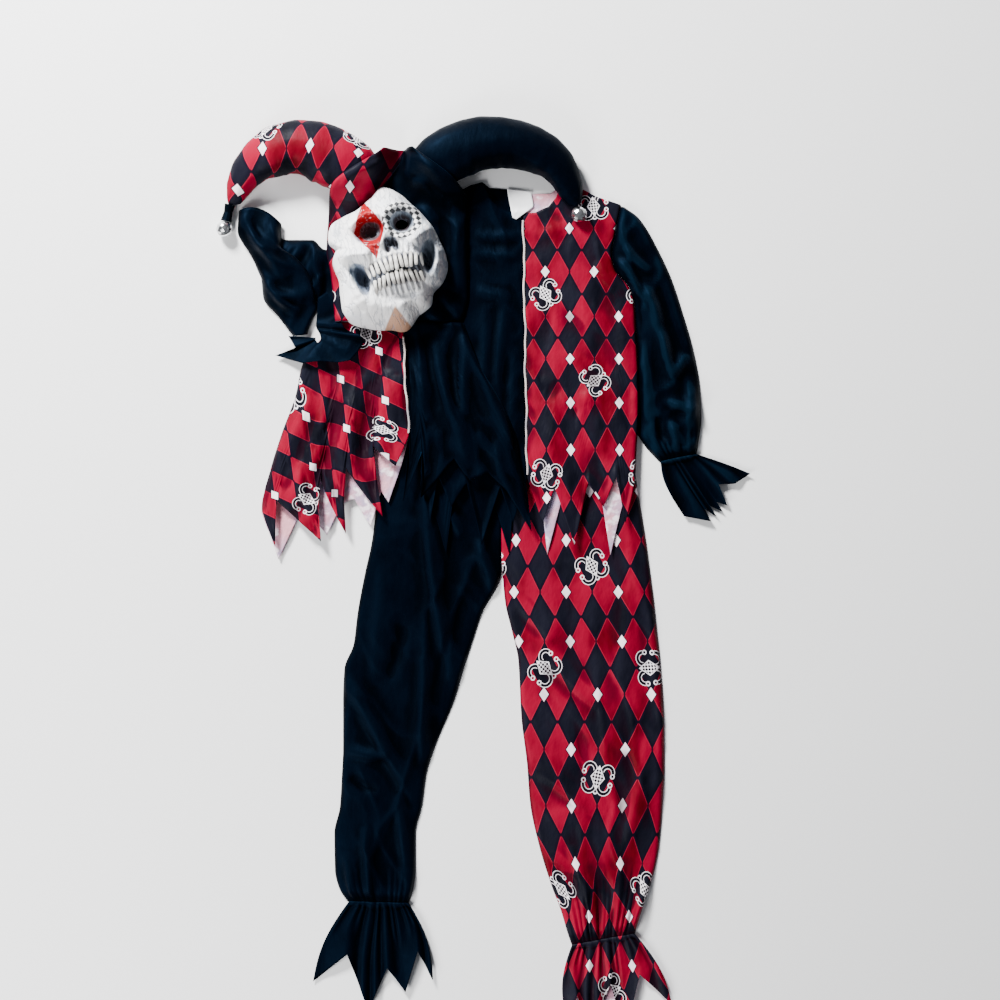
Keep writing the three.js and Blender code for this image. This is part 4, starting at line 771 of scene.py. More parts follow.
class Paint:
    """A new material and short ways to add its nodes."""

    def __init__(self, name):
        self.material = bpy.data.materials.new(name)
        self.material.use_nodes = True
        self.tree = self.material.node_tree
        self.tree.nodes.clear()
        self.place = self.read("ShaderNodeTexCoord", output="Object")

    def node(self, kind, inputs=(), **settings):
        made = self.tree.nodes.new(kind)
        for key, value in settings.items():
            setattr(made, key, value)
        for name, value in dict(inputs).items():
            socket = made.inputs[name]
            if isinstance(value, Value):
                self.tree.links.new(value.socket, socket)
            else:
                socket.default_value = (*value, 1)[:4] if socket.type == "RGBA" else value
        return made

    def read(self, kind, inputs=(), output=0, **settings):
        return Value(self, self.node(kind, inputs, **settings).outputs[output])

    def mix(self, share, under, over, blend="MIX"):
        """The colour under where share is 0, and over where it is 1."""
        inputs = {0: share, 6: under, 7: over}
        return self.read("ShaderNodeMix", inputs, output=2, data_type="RGBA", blend_type=blend)

    def coats(self, color, *layers):
        """Lays colours over one another, each with its own share."""
        for share, tint in layers:
            color = self.mix(share, color, tint)
        return color

    def uv(self, layer):
        return self.read("ShaderNodeUVMap", uv_map=layer)

    def parts(self, vector):
        split = self.node("ShaderNodeSeparateXYZ", {0: vector})
        return Value(self, split.outputs[0]), Value(self, split.outputs[1])

    def ridge(self):
        """1 on the ridges of the folds, 0 in their hollows."""
        return self.parts(self.uv("fold"))[0]

    def stretched(self, scale, turn=0.0, at=None):
        inputs = {"Vector": at or self.place, "Scale": scale, "Rotation": (0, 0, turn)}
        return self.read("ShaderNodeMapping", inputs)

    def noise(self, scale, detail=3.0, rough=0.5, at=None):
        inputs = {"Vector": at or self.place, "Scale": scale, "Detail": detail, "Roughness": rough}
        return self.read("ShaderNodeTexNoise", inputs)

    def bump(self, height, strength, distance, under=None):
        inputs = {"Height": height, "Strength": strength, "Distance": distance}
        return self.read("ShaderNodeBump", {**inputs, "Normal": under} if under else inputs)

    def knit(self, scale, strength, distance):
        """Fine knitted ribs with rows of stitches across them."""
        inputs = {"Vector": self.place, "Scale": scale, "Distortion": 1.2, "Detail": 1.0, "Detail Scale": 3.0}
        along = self.read("ShaderNodeTexWave", inputs, output=1, bands_direction="X")
        inputs = {"Vector": self.place, "Scale": scale * 1.3, "Distortion": 0.8, "Detail": 1.0}
        across = self.read("ShaderNodeTexWave", inputs, output=1, bands_direction="Y")
        return self.bump(along * 0.7 + across * 0.3, strength, distance)

    def finish(self, color, roughness, normal=None, **more):
        inputs = {"Base Color": color, "Roughness": roughness}
        inputs.update({key.replace("_", " "): value for key, value in more.items()})
        shader = self.read("ShaderNodeBsdfPrincipled", {**inputs, "Normal": normal} if normal else inputs)
        self.node("ShaderNodeOutputMaterial", {0: shader})
        return self.material


def black_knit():
    paint = Paint("black_knit")
    x, y = paint.parts(paint.place)
    color = paint.mix(paint.noise(14).step(0.35, 0.7), (0.0001, 0.0004, 0.0014), (0.0003, 0.0012, 0.0034))
    # Painted light: the fold ridges are painted lighter as highlights, most of all on the lit part of the
    # sleeve to the right, and the fold hollows darker as shade.
    lit = x.step(0.06, 0.24) * y.step(-0.1, 0.1)
    color = paint.coats(
        color,
        (paint.ridge().step(0.5, 0.9), paint.mix(lit, (0.0003, 0.0013, 0.0036), (0.001, 0.0042, 0.0092))),
        (paint.ridge().step(0.45, 0.2), (0.0, 0.0001, 0.0004)),
        (paint.noise(900, 1).step(0.66, 0.8) * 0.08, (0.02, 0.04, 0.06)),
    )
    creased = paint.bump(paint.noise(48, 3, 0.55, paint.stretched((1, 0.5, 1))), 0.3, 0.005)
    normal = paint.bump(paint.noise(700, 2), 0.12, 0.0006, creased)
    return paint.finish(
        color, paint.noise(60, 2).step(0.2, 0.8, 0.5, 0.6), normal,
        Sheen_Weight=0.02, Sheen_Roughness=0.35, Sheen_Tint=(0.1, 0.35, 0.8),
        Specular_IOR_Level=0.06, Specular_Tint=(0.08, 0.3, 0.68),
    )


def ornaments(paint, u, v):
    """Where a checked lozenge with four curled arms and a ring at each end is white, and where black."""
    across, down = ORNAMENT_REPEAT
    rows = (v - 0.5) * (1 / down)
    band = rows.then("FLOOR")
    columns = (u - 0.5) * (1 / across) + band * 0.5
    column = columns.then("FLOOR")
    x, y = (columns - column - 0.5) * (across * COLUMN_MM), (band + 0.5 - rows) * (down * ROW_MM)
    cell = paint.read("ShaderNodeCombineXYZ", {0: column, 1: band})
    turn = paint.read("ShaderNodeTexWhiteNoise", {"Vector": cell}, noise_dimensions="2D") * FULL_TURN
    point = paint.read("ShaderNodeCombineXYZ", {0: x, 1: y})
    inputs = {"Vector": point, "Angle": turn}
    x, y = paint.parts(paint.read("ShaderNodeVectorRotate", inputs, rotation_type="Z_AXIS"))
    side = abs(x)

    def ring(a, b, radius):
        return abs(far(side - a, y - b) - radius)

    arms = (ring(11, 10, 9) + (y < 10) * 50).then("MINIMUM", ring(13, -8, 8) + (y > -8) * 50)
    rings = ring(20, 6.6, 2.6).then("MINIMUM", ring(21, -4.8, 2.6)).then("MINIMUM", ring(0, 17.4, 3))
    lozenge = side * (1 / 9.5) + abs(y) * (1 / 14)
    checks = ((x + y) * 0.72).then("SINE") * ((x - y) * 0.72).then("SINE") > 0
    white = arms.step(3, 2.6).then("MAXIMUM", rings.step(1, 0.6)).then("MAXIMUM", lozenge.step(1.14, 1.08))
    outlined = arms.step(2.1, 1.7) * lozenge.step(1.1, 1.16)
    return white, outlined.then("MAXIMUM", lozenge.step(1, 0.94) * checks)


def lozenges(paint):
    """The harlequin print: crimson and ink lozenges, and small white ones at every other corner."""
    u, v = paint.parts(paint.uv("print"))
    total, apart = u + v, u - v
    near_total, near_apart = total.then("ROUND"), apart.then("ROUND")
    off_total, off_apart = abs(total - near_total), abs(apart - near_apart)
    edge = off_total.then("MAXIMUM", off_apart)
    ink = (near_total + near_apart + 1000).then("MODULO", 2) > 0.5
    row = v.then("ROUND")
    even = row * 0
    for number in EVEN_ROWS:
        even = even + row.then("COMPARE", number, 0.1)
    half = (u - (1.5 - even)) * 0.5
    small = abs(half - half.then("ROUND")) * (2 / 0.165) + abs(v - row) * (1 / 0.125)
    cloud = paint.noise(12, at=paint.stretched((1.5, 0.7, 1), 0.2)).step(0.32, 0.62)
    red = paint.mix(cloud, (0.08, 0.0, 0.004), (0.22, 0.0, 0.018))
    red = paint.mix(edge.step(0.466, 0.485), red, (0.29, 0.008, 0.028))
    navy = paint.mix(cloud, (0.0016, 0.0017, 0.004), (0.0058, 0.006, 0.0115))
    navy = paint.mix(edge.step(0.35, 0.47), navy, (0.004, 0.003, 0.009))
    white, black = ornaments(paint, u, v)
    return paint.coats(
        paint.mix(ink, red, navy),
        ((off_total + off_apart).step(0.9, 0.97), (0.006, 0.002, 0.008)),
        (small.step(1.4, 1.25), (0.008, 0.003, 0.01)),
        (small.step(1.12, 1.0), (0.88, 0.76, 0.8)),
        (white, (0.86, 0.8, 0.84)),
        (black, (0.004, 0.004, 0.007)),
    )


def harlequin_print():
    paint = Paint("harlequin_print")
    # Painted shade: the print darkened in the hollows of the folds.
    color = paint.mix(paint.ridge().step(0.47, 0.15) * 0.62, lozenges(paint), (0.008, 0.0, 0.003))
    creased = paint.bump(paint.noise(40, 3, 0.55, paint.stretched((1, 0.6, 1))), 0.45, 0.005)
    normal = paint.bump(paint.noise(800, 2), 0.1, 0.0005, creased)
    return paint.finish(
        color, paint.noise(70, 2).step(0.2, 0.8, 0.42, 0.56), normal,
        Sheen_Weight=0.01, Sheen_Roughness=0.35, Sheen_Tint=(1, 0.1, 0.3), Specular_IOR_Level=0.04,
    )


def wrong_side():
    """The harlequin cloth from behind: pale, with the print showing through faintly."""
    paint = Paint("harlequin_wrong_side")
    ghost = paint.mix(0.94, lozenges(paint), (0.86, 0.66, 0.7))
    color = paint.mix(paint.noise(22).step(0.35, 0.68), (0.6, 0.28, 0.33), (0.34, 0.31, 0.46))
    color = paint.mix(paint.noise(48).step(0.52, 0.64), color, (0.82, 0.72, 0.78))
    color = paint.mix(0.12, color, ghost, "MULTIPLY")
    creased = paint.bump(paint.noise(60, 4, 0.65), 0.55, 0.005)
    return paint.finish(color, 0.6, creased, Sheen_Weight=0.1, Specular_IOR_Level=0.3)


def seam_tape():
    paint = Paint("seam_tape")
    u, v = paint.parts(paint.uv("print"))
    dashes = abs(abs(u) - 0.3).step(0.09, 0.05) * (v * FULL_TURN).then("SINE").step(-0.3, 0.1)
    color = paint.mix(paint.noise(26).step(0.42, 0.66), (0.66, 0.56, 0.52), (0.26, 0.24, 0.27))
    color = paint.mix(dashes * 0.6, color, (0.1, 0.08, 0.09))
    normal = paint.bump(dashes, 0.4, 0.0005, paint.knit(300, 0.5, 0.0006))
    return paint.finish(color, 0.8, normal, Sheen_Weight=0.2)


def neck_label_satin():
    paint = Paint("neck_label_satin")
    color = paint.mix(paint.noise(40, 2).step(0.3, 0.7), (0.84, 0.84, 0.86), (0.93, 0.93, 0.94))
    return paint.finish(color, 0.45, paint.knit(500, 0.3, 0.0003), Sheen_Weight=0.2)


def bell_nickel():
    paint = Paint("bell_nickel")
    color = paint.mix(paint.noise(160).step(0.4, 0.75), (0.72, 0.73, 0.74), (0.5, 0.5, 0.5))
    return paint.finish(color, paint.noise(90, 2).step(0.3, 0.7, 0.12, 0.3), Metallic=1.0)


BLACK, TAPE, LABEL = black_knit(), seam_tape(), neck_label_satin()
CLOTHS = {  # slot, outer face, inner face
    "black": ("black_cloth", BLACK, BLACK),
    "harlequin": ("harlequin_cloth", harlequin_print(), wrong_side()),
    "tape": ("white_tape", TAPE, TAPE),
    "label": ("label_cloth", LABEL, LABEL),
}


# The print's place on each piece: how the lozenge rows and columns lie
def tunic_print(x, y):
    beyond = np.clip(y - 433.6, 0, None) / ROW_MM
    lean = 0.02 * (300 - y)
    return (x - 130.9 - lean * 0.3) / 38.9, between(TUNIC_PRINT_ROWS, y) - beyond


def leg_print(x, y):
    return (x - edge_of(LEG_PRINT, 2)(y)) / edge_of(LEG_PRINT, 3)(y), between(LEG_PRINT, y, 1)


def turned_print(x, y, x_ref, y_ref, row, turn, wide=38.0, tall=70.0):
    cos, sin = np.cos(np.radians(turn)), np.sin(np.radians(turn))
    across = (x - x_ref) * cos + (y - y_ref) * sin
    down = (x - x_ref) * sin - (y - y_ref) * cos
    return across / wide, row + down / tall


def cape_print(x, y):
    """The print drops at the cape's loose left side and climbs at its lower right."""
    dropped = ramp(x, -255, -300) * ramp(y, 190, 120)
    climbed = ramp(x, -225, -180) * ramp(y, 135, 75)
    return turned_print(x - 8 * dropped - 21 * climbed, y + 17 * dropped - 12 * climbed, -228.6, 125.1, 7, 36)


def hood_print(x, y):
    return turned_print(x, y, -217, 493, 7, -4, wide=39.5)


def horn_print(x, y):
    arch = between(HORN_ARCH, x, smooth=True)
    beyond = np.clip(-380 - x, 0, None)
    return (x + 318 + 0.12 * (arch - y)) / 37.5, 6 + (arch - y + beyond * 0.3) / ROW_MM


def no_print(x, y):
    return x / 40, y / 70


def sew(name, node, grid, kind="black", pattern=no_print, under=False, drop=None,
        strip_mm=None):
    slot, outer, inner = CLOTHS[kind]
    piece = cloth(name, grid, (inner, outer) if under else (outer, inner), pattern, drop)
    stand_in(piece, node)
    lie_under(piece)
    width, length, area = flat_size(grid)
    if drop is not None:
        area = sum(polygon.area for polygon in piece.data.polygons) / 2
    if strip_mm is not None:
        width, length = LEAST_SHEET_WIDTH, strip_mm[1] * MM
        area = max(strip_mm[0] * MM * length, LEAST_SHEET_SHARE * width * length)


# Trousers
def leg_plan(rows, ankle, black):
    left, right = edge_of(rows, 1), edge_of(rows, 2)
    seam_left, seam_right = (0, SEAM / 2) if black else (SEAM / 2, 0)
    return panel_plan(lambda y: left(y) + seam_left, lambda y: right(y) - seam_right, level(WAIST_Y), ankle)


LEGS = (  # shade, edges, ankle line, folds, print, reach and height of the gathers, turn of the creases
    ("black", BLACK_LEG, BLACK_ANKLE, BLACK_LEG_FOLDS, no_print, 60, 6, -12),
    ("harlequin", HARLEQUIN_LEG, HARLEQUIN_ANKLE, HARLEQUIN_LEG_FOLDS, leg_print, 120, 8, 8),
)
legs = {}
for shade, rows, ankle, folds, pattern, reach, tall, turn in LEGS:
    is_black = shade == "black"
    back, front = leg_plan(rows, ankle, is_black), leg_plan(rows, ankle, is_black)
    sew(f"trousers_{shade}_back", f"trouser_back_{shade}", on_floor(back), shade, pattern, under=True)
    legs[shade] = front
    below = (1 - front.along) * (WAIST_Y - ankle[0][1])
    outer_roll = side_roll(front, 9, left=is_black, right=not is_black)
    inner_roll = side_roll(front, 9, left=not is_black, right=is_black)
    lay(
        front, on_ply, folds=folds, crown=2.6, lift=gathers(front, 9, below, reach, tall),
        roll=np.minimum(outer_roll, np.maximum(inner_roll, front.y >= CROTCH_Y)),
        ripple=((1.6, 70, 11), (0.9, 26, 12)), creased=((3.8, turn, 44, 190, 13), (1.8, 35, 30, 90, 14)),
        press=0.25 + 0.75 * ramp(below, 0, 20),
    )
    sew(f"trousers_{shade}_front", f"trouser_front_{shade}", front, shade, pattern)

# Ankle ruffles
ANKLE_RUFFLES = (  # shade, rays of the front ply and of the back ply, share of their length behind, print
    ("black", BLACK_ANKLE_RUFFLE, BLACK_ANKLE_RUFFLE, 0.94, no_print),
    ("harlequin", HARLEQUIN_ANKLE_RUFFLE, HARLEQUIN_ANKLE_RUFFLE_BACK, 1.0, leg_print),
)
for shade, front_rays, back_rays, share, pattern in ANKLE_RUFFLES:
    back = ruffle_plan(shorter(rooted_below(legs[shade], back_rays), share), 11, 8)
    sew(f"ankle_ruffle_{shade}_back_cloth", f"ankle_ruffle_{shade}_back", on_floor(back), shade, pattern,
        under=True)
    front = ruffle_plan(rooted_below(legs[shade], front_rays, RUFFLE_OVERLAP), 11, 14)
    pinched = 1.6 * (1 - np.cos(2 * np.pi * (11 * front.at + 0.2 * np.sin(front.at * 31)))) * ramp(
        front.along, 0.02, 0.12) * ramp(front.along, 0.6, 0.2)
    lay(front, on_ply, lift=ruffle_lift(front, 6, 8, 3) + pinched)
    sew(f"ankle_ruffle_{shade}_front_cloth", f"ankle_ruffle_{shade}_front", front, shade, pattern)


# Tunic
def turned(rows):
    return tuple((1 - row[0], *row[1:]) for row in rows)


def centre_of_tunic(y):
    return 37 + (TUNIC_NECK_Y - y) * 0.015


tunic_side = edge_of(TUNIC_SIDE)


def mirrored_side(y):
    return 2 * centre_of_tunic(y) - tunic_side(y)


def tunic_plan(black, top, hem):
    if black:
        return panel_plan(mirrored_side, lambda y: centre_of_tunic(y) - SEAM / 2, turned(top), turned(hem))
    return panel_plan(lambda y: centre_of_tunic(y) + SEAM / 2, tunic_side, top, hem)


TUNICS = (  # shade, back neckline, folds, print
    ("black", TUNIC_BLACK_BACK_TOP, BLACK_TUNIC_FOLDS, no_print),
    ("harlequin", TUNIC_BACK_TOP, HARLEQUIN_TUNIC_FOLDS, tunic_print),
)
for shade, top, folds, pattern in TUNICS:
    back = lay(tunic_plan(shade == "black", top, TUNIC_BACK_HEM), tunic_base, rounds=30)
    sew(f"tunic_{shade}_back", f"tunic_back_{shade}", back, shade, pattern, under=True)
for shade, top, folds, pattern in TUNICS:
    is_black = shade == "black"
    front = tunic_plan(is_black, TUNIC_FRONT_TOP, TUNIC_FRONT_HEM)
    lay(
        front, tunic_front_base, rounds=30, gap=0.5, folds=folds, crown=1.2,
        roll=side_roll(front, 8, left=is_black, right=not is_black),
        lift=3.0 * ramp(front.along, 0.93, 1.0) * (1 + soft_noise(front.x, front.y, 30, 5)),
        ripple=((1.2, 60, 21), (0.7, 24, 22)), creased=((2.8, 4, 40, 150, 23), (1.6, 60, 36, 70, 24)),
    )
    sew(f"tunic_{shade}_front", f"tunic_front_{shade}", front, shade, pattern)


def sew_tape(name, node, middle, top_y, end_y, base):
    """A narrow seam tape along a curve of y, with its stitches counted along it."""
    left, right = lambda y: middle(y) - TAPE_WIDTH / 2, lambda y: middle(y) + TAPE_WIDTH / 2
    grid = lay(panel_plan(left, right, level(top_y), level(end_y), step=2.5), base, rounds=6, gap=0.3)
    stitches = lambda x, y: ((x - middle(y)) / TAPE_WIDTH, y / STITCH_MM)
    sew(name, node, grid, "tape", stitches, strip_mm=(TAPE_WIDTH, top_y - end_y))


sew_tape(
    "front_tape", "front_seam_tape",
    lambda y: centre_of_tunic(y) + 0.9 * np.sin(y / 19) + 0.5 * np.sin(y / 7),
    447, 40, tunic_front_base,
)
label = lay(sleeve_plan(NECK_LABEL, 34, 46, 2.0, smooth=False), on_ply, rounds=12, ripple=((1.4, 18, 8),))
sew("label", "neck_label", label, "label")


# Straight sleeve
def sleeve_inner(y):
    beside_tunic = tunic_side(y) + SEAM
    return np.where(y > 140, beside_tunic, np.maximum(beside_tunic, between(SLEEVE_INNER_END, y)))


def straight_sleeve():
    return panel_plan(sleeve_inner, edge_of(SLEEVE_OUTER), level(SLEEVE_TOP_Y), SLEEVE_WRIST)


sew("sleeve_straight_back", "sleeve_right_back", on_floor(straight_sleeve()))
sleeve = straight_sleeve()
to_wrist = (1 - sleeve.along) * 400
lay(
    sleeve, on_ply, folds=SLEEVE_FOLDS, crown=4.5, roll=side_roll(sleeve, 11),
    lift=gathers(sleeve, 7, to_wrist, 60, 7), press=0.25 + 0.75 * ramp(to_wrist, 0, 18),
    ripple=((1.6, 46, 31), (0.8, 20, 32)), creased=((5, 14, 34, 150, 33), (2.6, -38, 28, 70, 34)),
)
sew("sleeve_straight_front", "sleeve_right_front", sleeve)
wrist = ruffle_plan(shorter(rooted_below(sleeve, RIGHT_WRIST_RUFFLE), 0.93), 4, 4)
sew("wrist_ruffle_straight_back", "wrist_ruffle_right_back", on_floor(wrist))
wrist = ruffle_plan(rooted_below(sleeve, RIGHT_WRIST_RUFFLE, RUFFLE_OVERLAP), 4, 5)
lay(wrist, on_ply, lift=ruffle_lift(wrist, 5, 6, 4))
sew("wrist_ruffle_straight_front", "wrist_ruffle_right_front", wrist)


# Folded sleeve: the upper part, whose end at the armhole is hidden under the cape and hood
def off_tunic(grid):
    return grid.x > mirrored_side(grid.y) - 0.6


upper_back, upper_front = sleeve_plan(LEFT_UPPER_SLEEVE, 120, 330), sleeve_plan(LEFT_UPPER_SLEEVE, 120, 330)
sew("sleeve_folded_upper_back", "sleeve_left_upper_back", on_floor(upper_back), drop=off_tunic)
lay(
    upper_front, on_ply, rounds=4, folds=UPPER_SLEEVE_FOLDS, crown=2.5, roll=side_roll(upper_front, 9),
    ripple=((2, 40, 41),), creased=((2.4, 50, 24, 60, 42),),
)
sew("sleeve_folded_upper_front", "sleeve_left_upper_front", upper_front, drop=off_tunic)


# Cape
cape_seam = edge_of(CAPE_SEAM)


def cape_plan(shade, hem):
    return half_plan(shade, CAPE_LEFT_EDGE, cape_seam, CAPE_RIGHT_EDGE, level(CAPE_NECK_Y), hem)


CAPES = (  # shade, print, front hem, back hem, folds, height and turn of the long creases
    ("harlequin", cape_print, CAPE_HARLEQUIN_HEM, CAPE_HARLEQUIN_BACK_HEM, CAPE_HARLEQUIN_FOLDS, -8, -18),
    ("black", no_print, CAPE_BLACK_HEM, CAPE_BLACK_BACK_HEM, CAPE_BLACK_FOLDS, 5, 6),
)
for shade, pattern, front_hem, back_hem, folds, tall, turn in CAPES:
    back = cape_plan(shade, back_hem)
    crumple = 2.6 * ramp(back.along, 0.55, 1) * (1 + soft_noise(back.x, back.y, 16, 52)) * 0.5
    crumple = crumple + 3.2 * ramp(back.along, 0.6, 0.9) * creases(back.x, back.y, 20, 17, 60, 56)
    lay(back, cape_base, rounds=40, lift=crumple)
    sew(f"cape_{shade}_under", f"cape_back_{shade}", back, shade, pattern, under=True)
for shade, pattern, front_hem, back_hem, folds, tall, turn in CAPES:
    is_black = shade == "black"
    front = cape_plan(shade, front_hem)
    lay(
        front, cape_front_base, rounds=40, gap=0.5, folds=folds,
        lift=3.4 * ramp(front.along, 0.85, 1.0) * (1 + soft_noise(front.x, front.y, 26, 53)) * 0.7,
        roll=side_roll(front, 8, left=not is_black, right=is_black), ripple=((1.5, 40, 54), (0.8, 18, 55)),
        creased=((tall, turn, 36, 210, 57), (2.6, 10, 20, 80, 58)),
    )
    sew(f"cape_{shade}_over", f"cape_front_{shade}", front, shade, pattern)
sew_tape(
    "cape_tape", "cape_seam_tape", lambda y: cape_seam(y) + 0.8 * np.sin(y / 17) + 0.5 * np.sin(y / 6),
    260, 106, cape_front_base,
)

# Folded sleeve: the forearm lies back over the upper part, its ruffle on the cape
forearm = sleeve_plan(LEFT_FOREARM, 70, 220, crest=13)
lay(forearm, lambda x, y: on_ply(x, y, 2), rounds=20)
sew("sleeve_folded_forearm_back", "sleeve_left_forearm_back", forearm)
forearm = sleeve_plan(LEFT_FOREARM, 70, 220, crest=13)
lay(
    forearm, lambda x, y: on_ply(x, y, 3), rounds=10, folds=FOREARM_FOLDS, crown=3.5,
    roll=side_roll(forearm, 9), ripple=((1.6, 34, 61),),
    creased=((2.4, -28, 22, 70, 62), (1.6, 60, 20, 50, 64)),
)
sew("sleeve_folded_forearm_front", "sleeve_left_forearm_front", forearm)
ruffle = ruffle_plan(LEFT_WRIST_RUFFLE, 0, 6)
lay(ruffle, left_ruffle_base, rounds=14, lift=ruffle_lift(ruffle, 4, 8, 6))
sew("wrist_ruffle_folded", "wrist_ruffle_left", ruffle)


# Hood
def hood_plan(shade, aside=0.0):
    top, neck = level(HOOD_TOP_Y), level(HOOD_NECK_Y)
    return half_plan(shade, HOOD_LEFT_EDGE, edge_of(HOOD_SEAM), HOOD_RIGHT_EDGE, top, neck, aside)


def face_opening(grid):
    x, y, half_width, half_height = FACE_OPENING
    return ((grid.x - x) / half_width) ** 2 + ((grid.y - y) / half_height) ** 2 < 1


HOODS = (  # shade, print, folds, turn of the long creases, what the under-sheet rests on
    ("harlequin", hood_print, HOOD_HARLEQUIN_FOLDS, 20, ("tunic_black_front", "sleeve_folded_upper_front")),
    ("black", no_print, HOOD_BLACK_FOLDS, -18, ("tunic_black_front",)),
)
for shade, pattern, folds, turn, rests in HOODS:
    back = lay(hood_plan(shade, -1.5), hood_base, rounds=30)
    sew(f"hood_{shade}_under", f"hood_back_{shade}", back, shade, pattern, under=True)


# Horns: padded tubes, swelled by pressure and puckered along their inner curve
def applied(piece):
    """Replaces a piece's mesh by its mesh with the modifiers applied."""
    graph = bpy.context.evaluated_depsgraph_get()
    made = bpy.data.meshes.new_from_object(piece.evaluated_get(graph))
    piece.modifiers.clear()
    piece.data = made


def set_vertices(piece, points):
    piece.data.vertices.foreach_set("co", np.ascontiguousarray(points, dtype=np.float32).ravel())
    piece.data.update()


def smoothed(piece, points, rounds):
    """Moves each point halfway to the middle of its neighbours, again and again."""
    edges = np.zeros(len(piece.data.edges) * 2, np.int32)
    piece.data.edges.foreach_get("vertices", edges)
    edges = edges.reshape(-1, 2)
    count = np.bincount(edges.ravel(), minlength=len(points))
    for _ in range(rounds):
        total = np.zeros_like(points)
        np.add.at(total, edges[:, 0], points[edges[:, 1]])
        np.add.at(total, edges[:, 1], points[edges[:, 0]])
        points = 0.5 * points + 0.5 * total / np.maximum(count, 1)[:, None]
    return points


def horn_places(rows, points):
    """Each point's distance along a horn's middle line, its side of it and which way that side is, and
    each row's distance along."""
    line = np.array([row[:2] for row in rows], float)
    steps = np.diff(line, axis=0)
    lengths = np.hypot(steps[:, 0], steps[:, 1])
    turns = np.stack([-steps[:, 1], steps[:, 0]], -1) / lengths[:, None]
    ends = np.concatenate([[0], np.cumsum(lengths)])
    best = np.full(len(points), 1e9)
    along, side = np.zeros(len(points)), np.zeros(len(points))
    for start, step, turn, length, begun in zip(line, steps, turns, lengths, ends):
        share = np.clip(((points[:, :2] - start) @ step) / length**2, 0, 1)
        off = points[:, :2] - (start + share[:, None] * step)
        gap = np.hypot(*off.T)
        closer = gap < best
        best = np.where(closer, gap, best)
        along = np.where(closer, begun + share * length, along)
        side = np.where(closer, off @ turn, side)
    bends = np.concatenate([turns[:1], (turns[:-1] + turns[1:]) / 2, turns[-1:]])
    normal = np.stack([between(list(zip(ends, bends[:, k])), along, smooth=True) for k in (0, 1)], -1)
    return along, side, normal / np.linalg.norm(normal, axis=1)[:, None], ends


def stuffed(piece):
    """Swells the piece by pressure, to HORN_SWELL at most."""
    start = vertices_of(piece)
    settings = piece.modifiers.new("stuffing", "CLOTH").settings
    settings.use_pressure = True
    settings.uniform_pressure_force = 4
    settings.quality = 5
    settings.tension_stiffness = 20
    settings.compression_stiffness = 10
    settings.effector_weights.gravity = 0
    cache = piece.modifiers["stuffing"].point_cache
    cache.frame_start, cache.frame_end = 1, 20
    for number in range(1, 21):
        bpy.context.scene.frame_set(number)
    applied(piece)
    move = vertices_of(piece) - start
    far_moved = np.linalg.norm(move, axis=1)[:, None]
    return start + move * np.minimum(1, HORN_SWELL / np.maximum(far_moved, 1e-9))


def horn_piece(shade, rows, pattern, inner_side, fuller):
    """A padded horn over its solid: fuller along its inner curve, puckered there and at its tip.

    All lengths along it are in mm from its mouth.
    """
    node = f"horn_{shade}"
    piece = bpy.data.objects.new(f"{node}_padded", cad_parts[node].data.copy())
    bpy.context.scene.collection.objects.link(piece)
    piece.data.materials.clear()
    remesh = piece.modifiers.new("even", "REMESH")
    remesh.mode, remesh.voxel_size = "VOXEL", HORN_VOXEL
    applied(piece)
    points = smoothed(piece, stuffed(piece), 3)
    along, side, normal, _ = horn_places(rows, points / MM)
    reach = along.max()
    end_fade = np.clip(along / 30, 0, 1)
    tip_fade = ramp(along, reach - 70, reach - 15)
    inner = np.clip(side * inner_side / 40, 0, 1)
    swollen = fuller * inner * ramp(along, 40, 90) * ramp(along, reach - 40, reach - 110)
    points[:, :2] = points[:, :2] + normal * (inner_side * swollen * MM)[:, None]
    # Pleats of uneven spacing across the inner curve, and seven round the tip
    pleat = np.sin(along / 4.3 + 1.3 * np.sin(along / 23)) * (0.6 + 0.4 * np.sin(along / 11))
    tip_pleat = np.sin(np.arctan2(points[:, 2] / MM - 14, side) * 7) * tip_fade
    up = np.clip(points[:, 2] / MM / 12, 0, 1)
    dent = (pleat * inner**1.5 * 1.5 * end_fade + tip_pleat * 0.8) * up
    lump = 1.3 * soft_noise(points[:, 0] / MM, points[:, 1] / MM, 38, 71) * up
    # Dents and lumps go out sideways and up
    outward = np.stack([normal[:, 0] * np.sign(side), normal[:, 1] * np.sign(side), 0.8 + 0 * side], -1)
    points = points + outward * (dent + lump)[:, None] * MM * 0.8
    points[:, 2] = np.maximum(points[:, 2], 0.0003)
    set_vertices(piece, points)
    smooth = piece.modifiers.new("smooth", "SUBSURF")
    smooth.levels = smooth.render_levels = 1
    applied(piece)
    points = vertices_of(piece) / MM
    points[:, 2] = np.maximum(points[:, 2], 0.3)
    set_vertices(piece, points * MM)
    along, side, normal, ends = horn_places(rows, points)
    # The print wraps round the tube: its place is an angle round the middle times the width
    wide = np.interp(along, ends, [row[2] for row in rows])
    middle = np.interp(along, np.linspace(0, along.max(), len(rows)), [row[3] / 2 + row[4] for row in rows])
    rise = np.maximum(points[:, 2] - middle, -30) / np.maximum(middle, 6)
    angle = np.arctan2(side / np.maximum(wide, 8) * 2, rise)
    wrapped = points[:, :2] + normal * (angle * wide * 0.42 - side)[:, None]
    printed = np.stack(pattern(wrapped[:, 0], wrapped[:, 1]), -1)
    write_layers(piece.data, {"print": printed, "fold": np.full((len(points), 2), 0.5)})
    slot, outer, _ = CLOTHS[shade]
    piece.data.materials.append(outer)
    shade_smooth(piece.data)
    stand_in(piece, node)
    lie_under(piece)


horn_piece("harlequin", HARLEQUIN_HORN, horn_print, 1, 10)
horn_piece("black", BLACK_HORN, no_print, -1, 4)

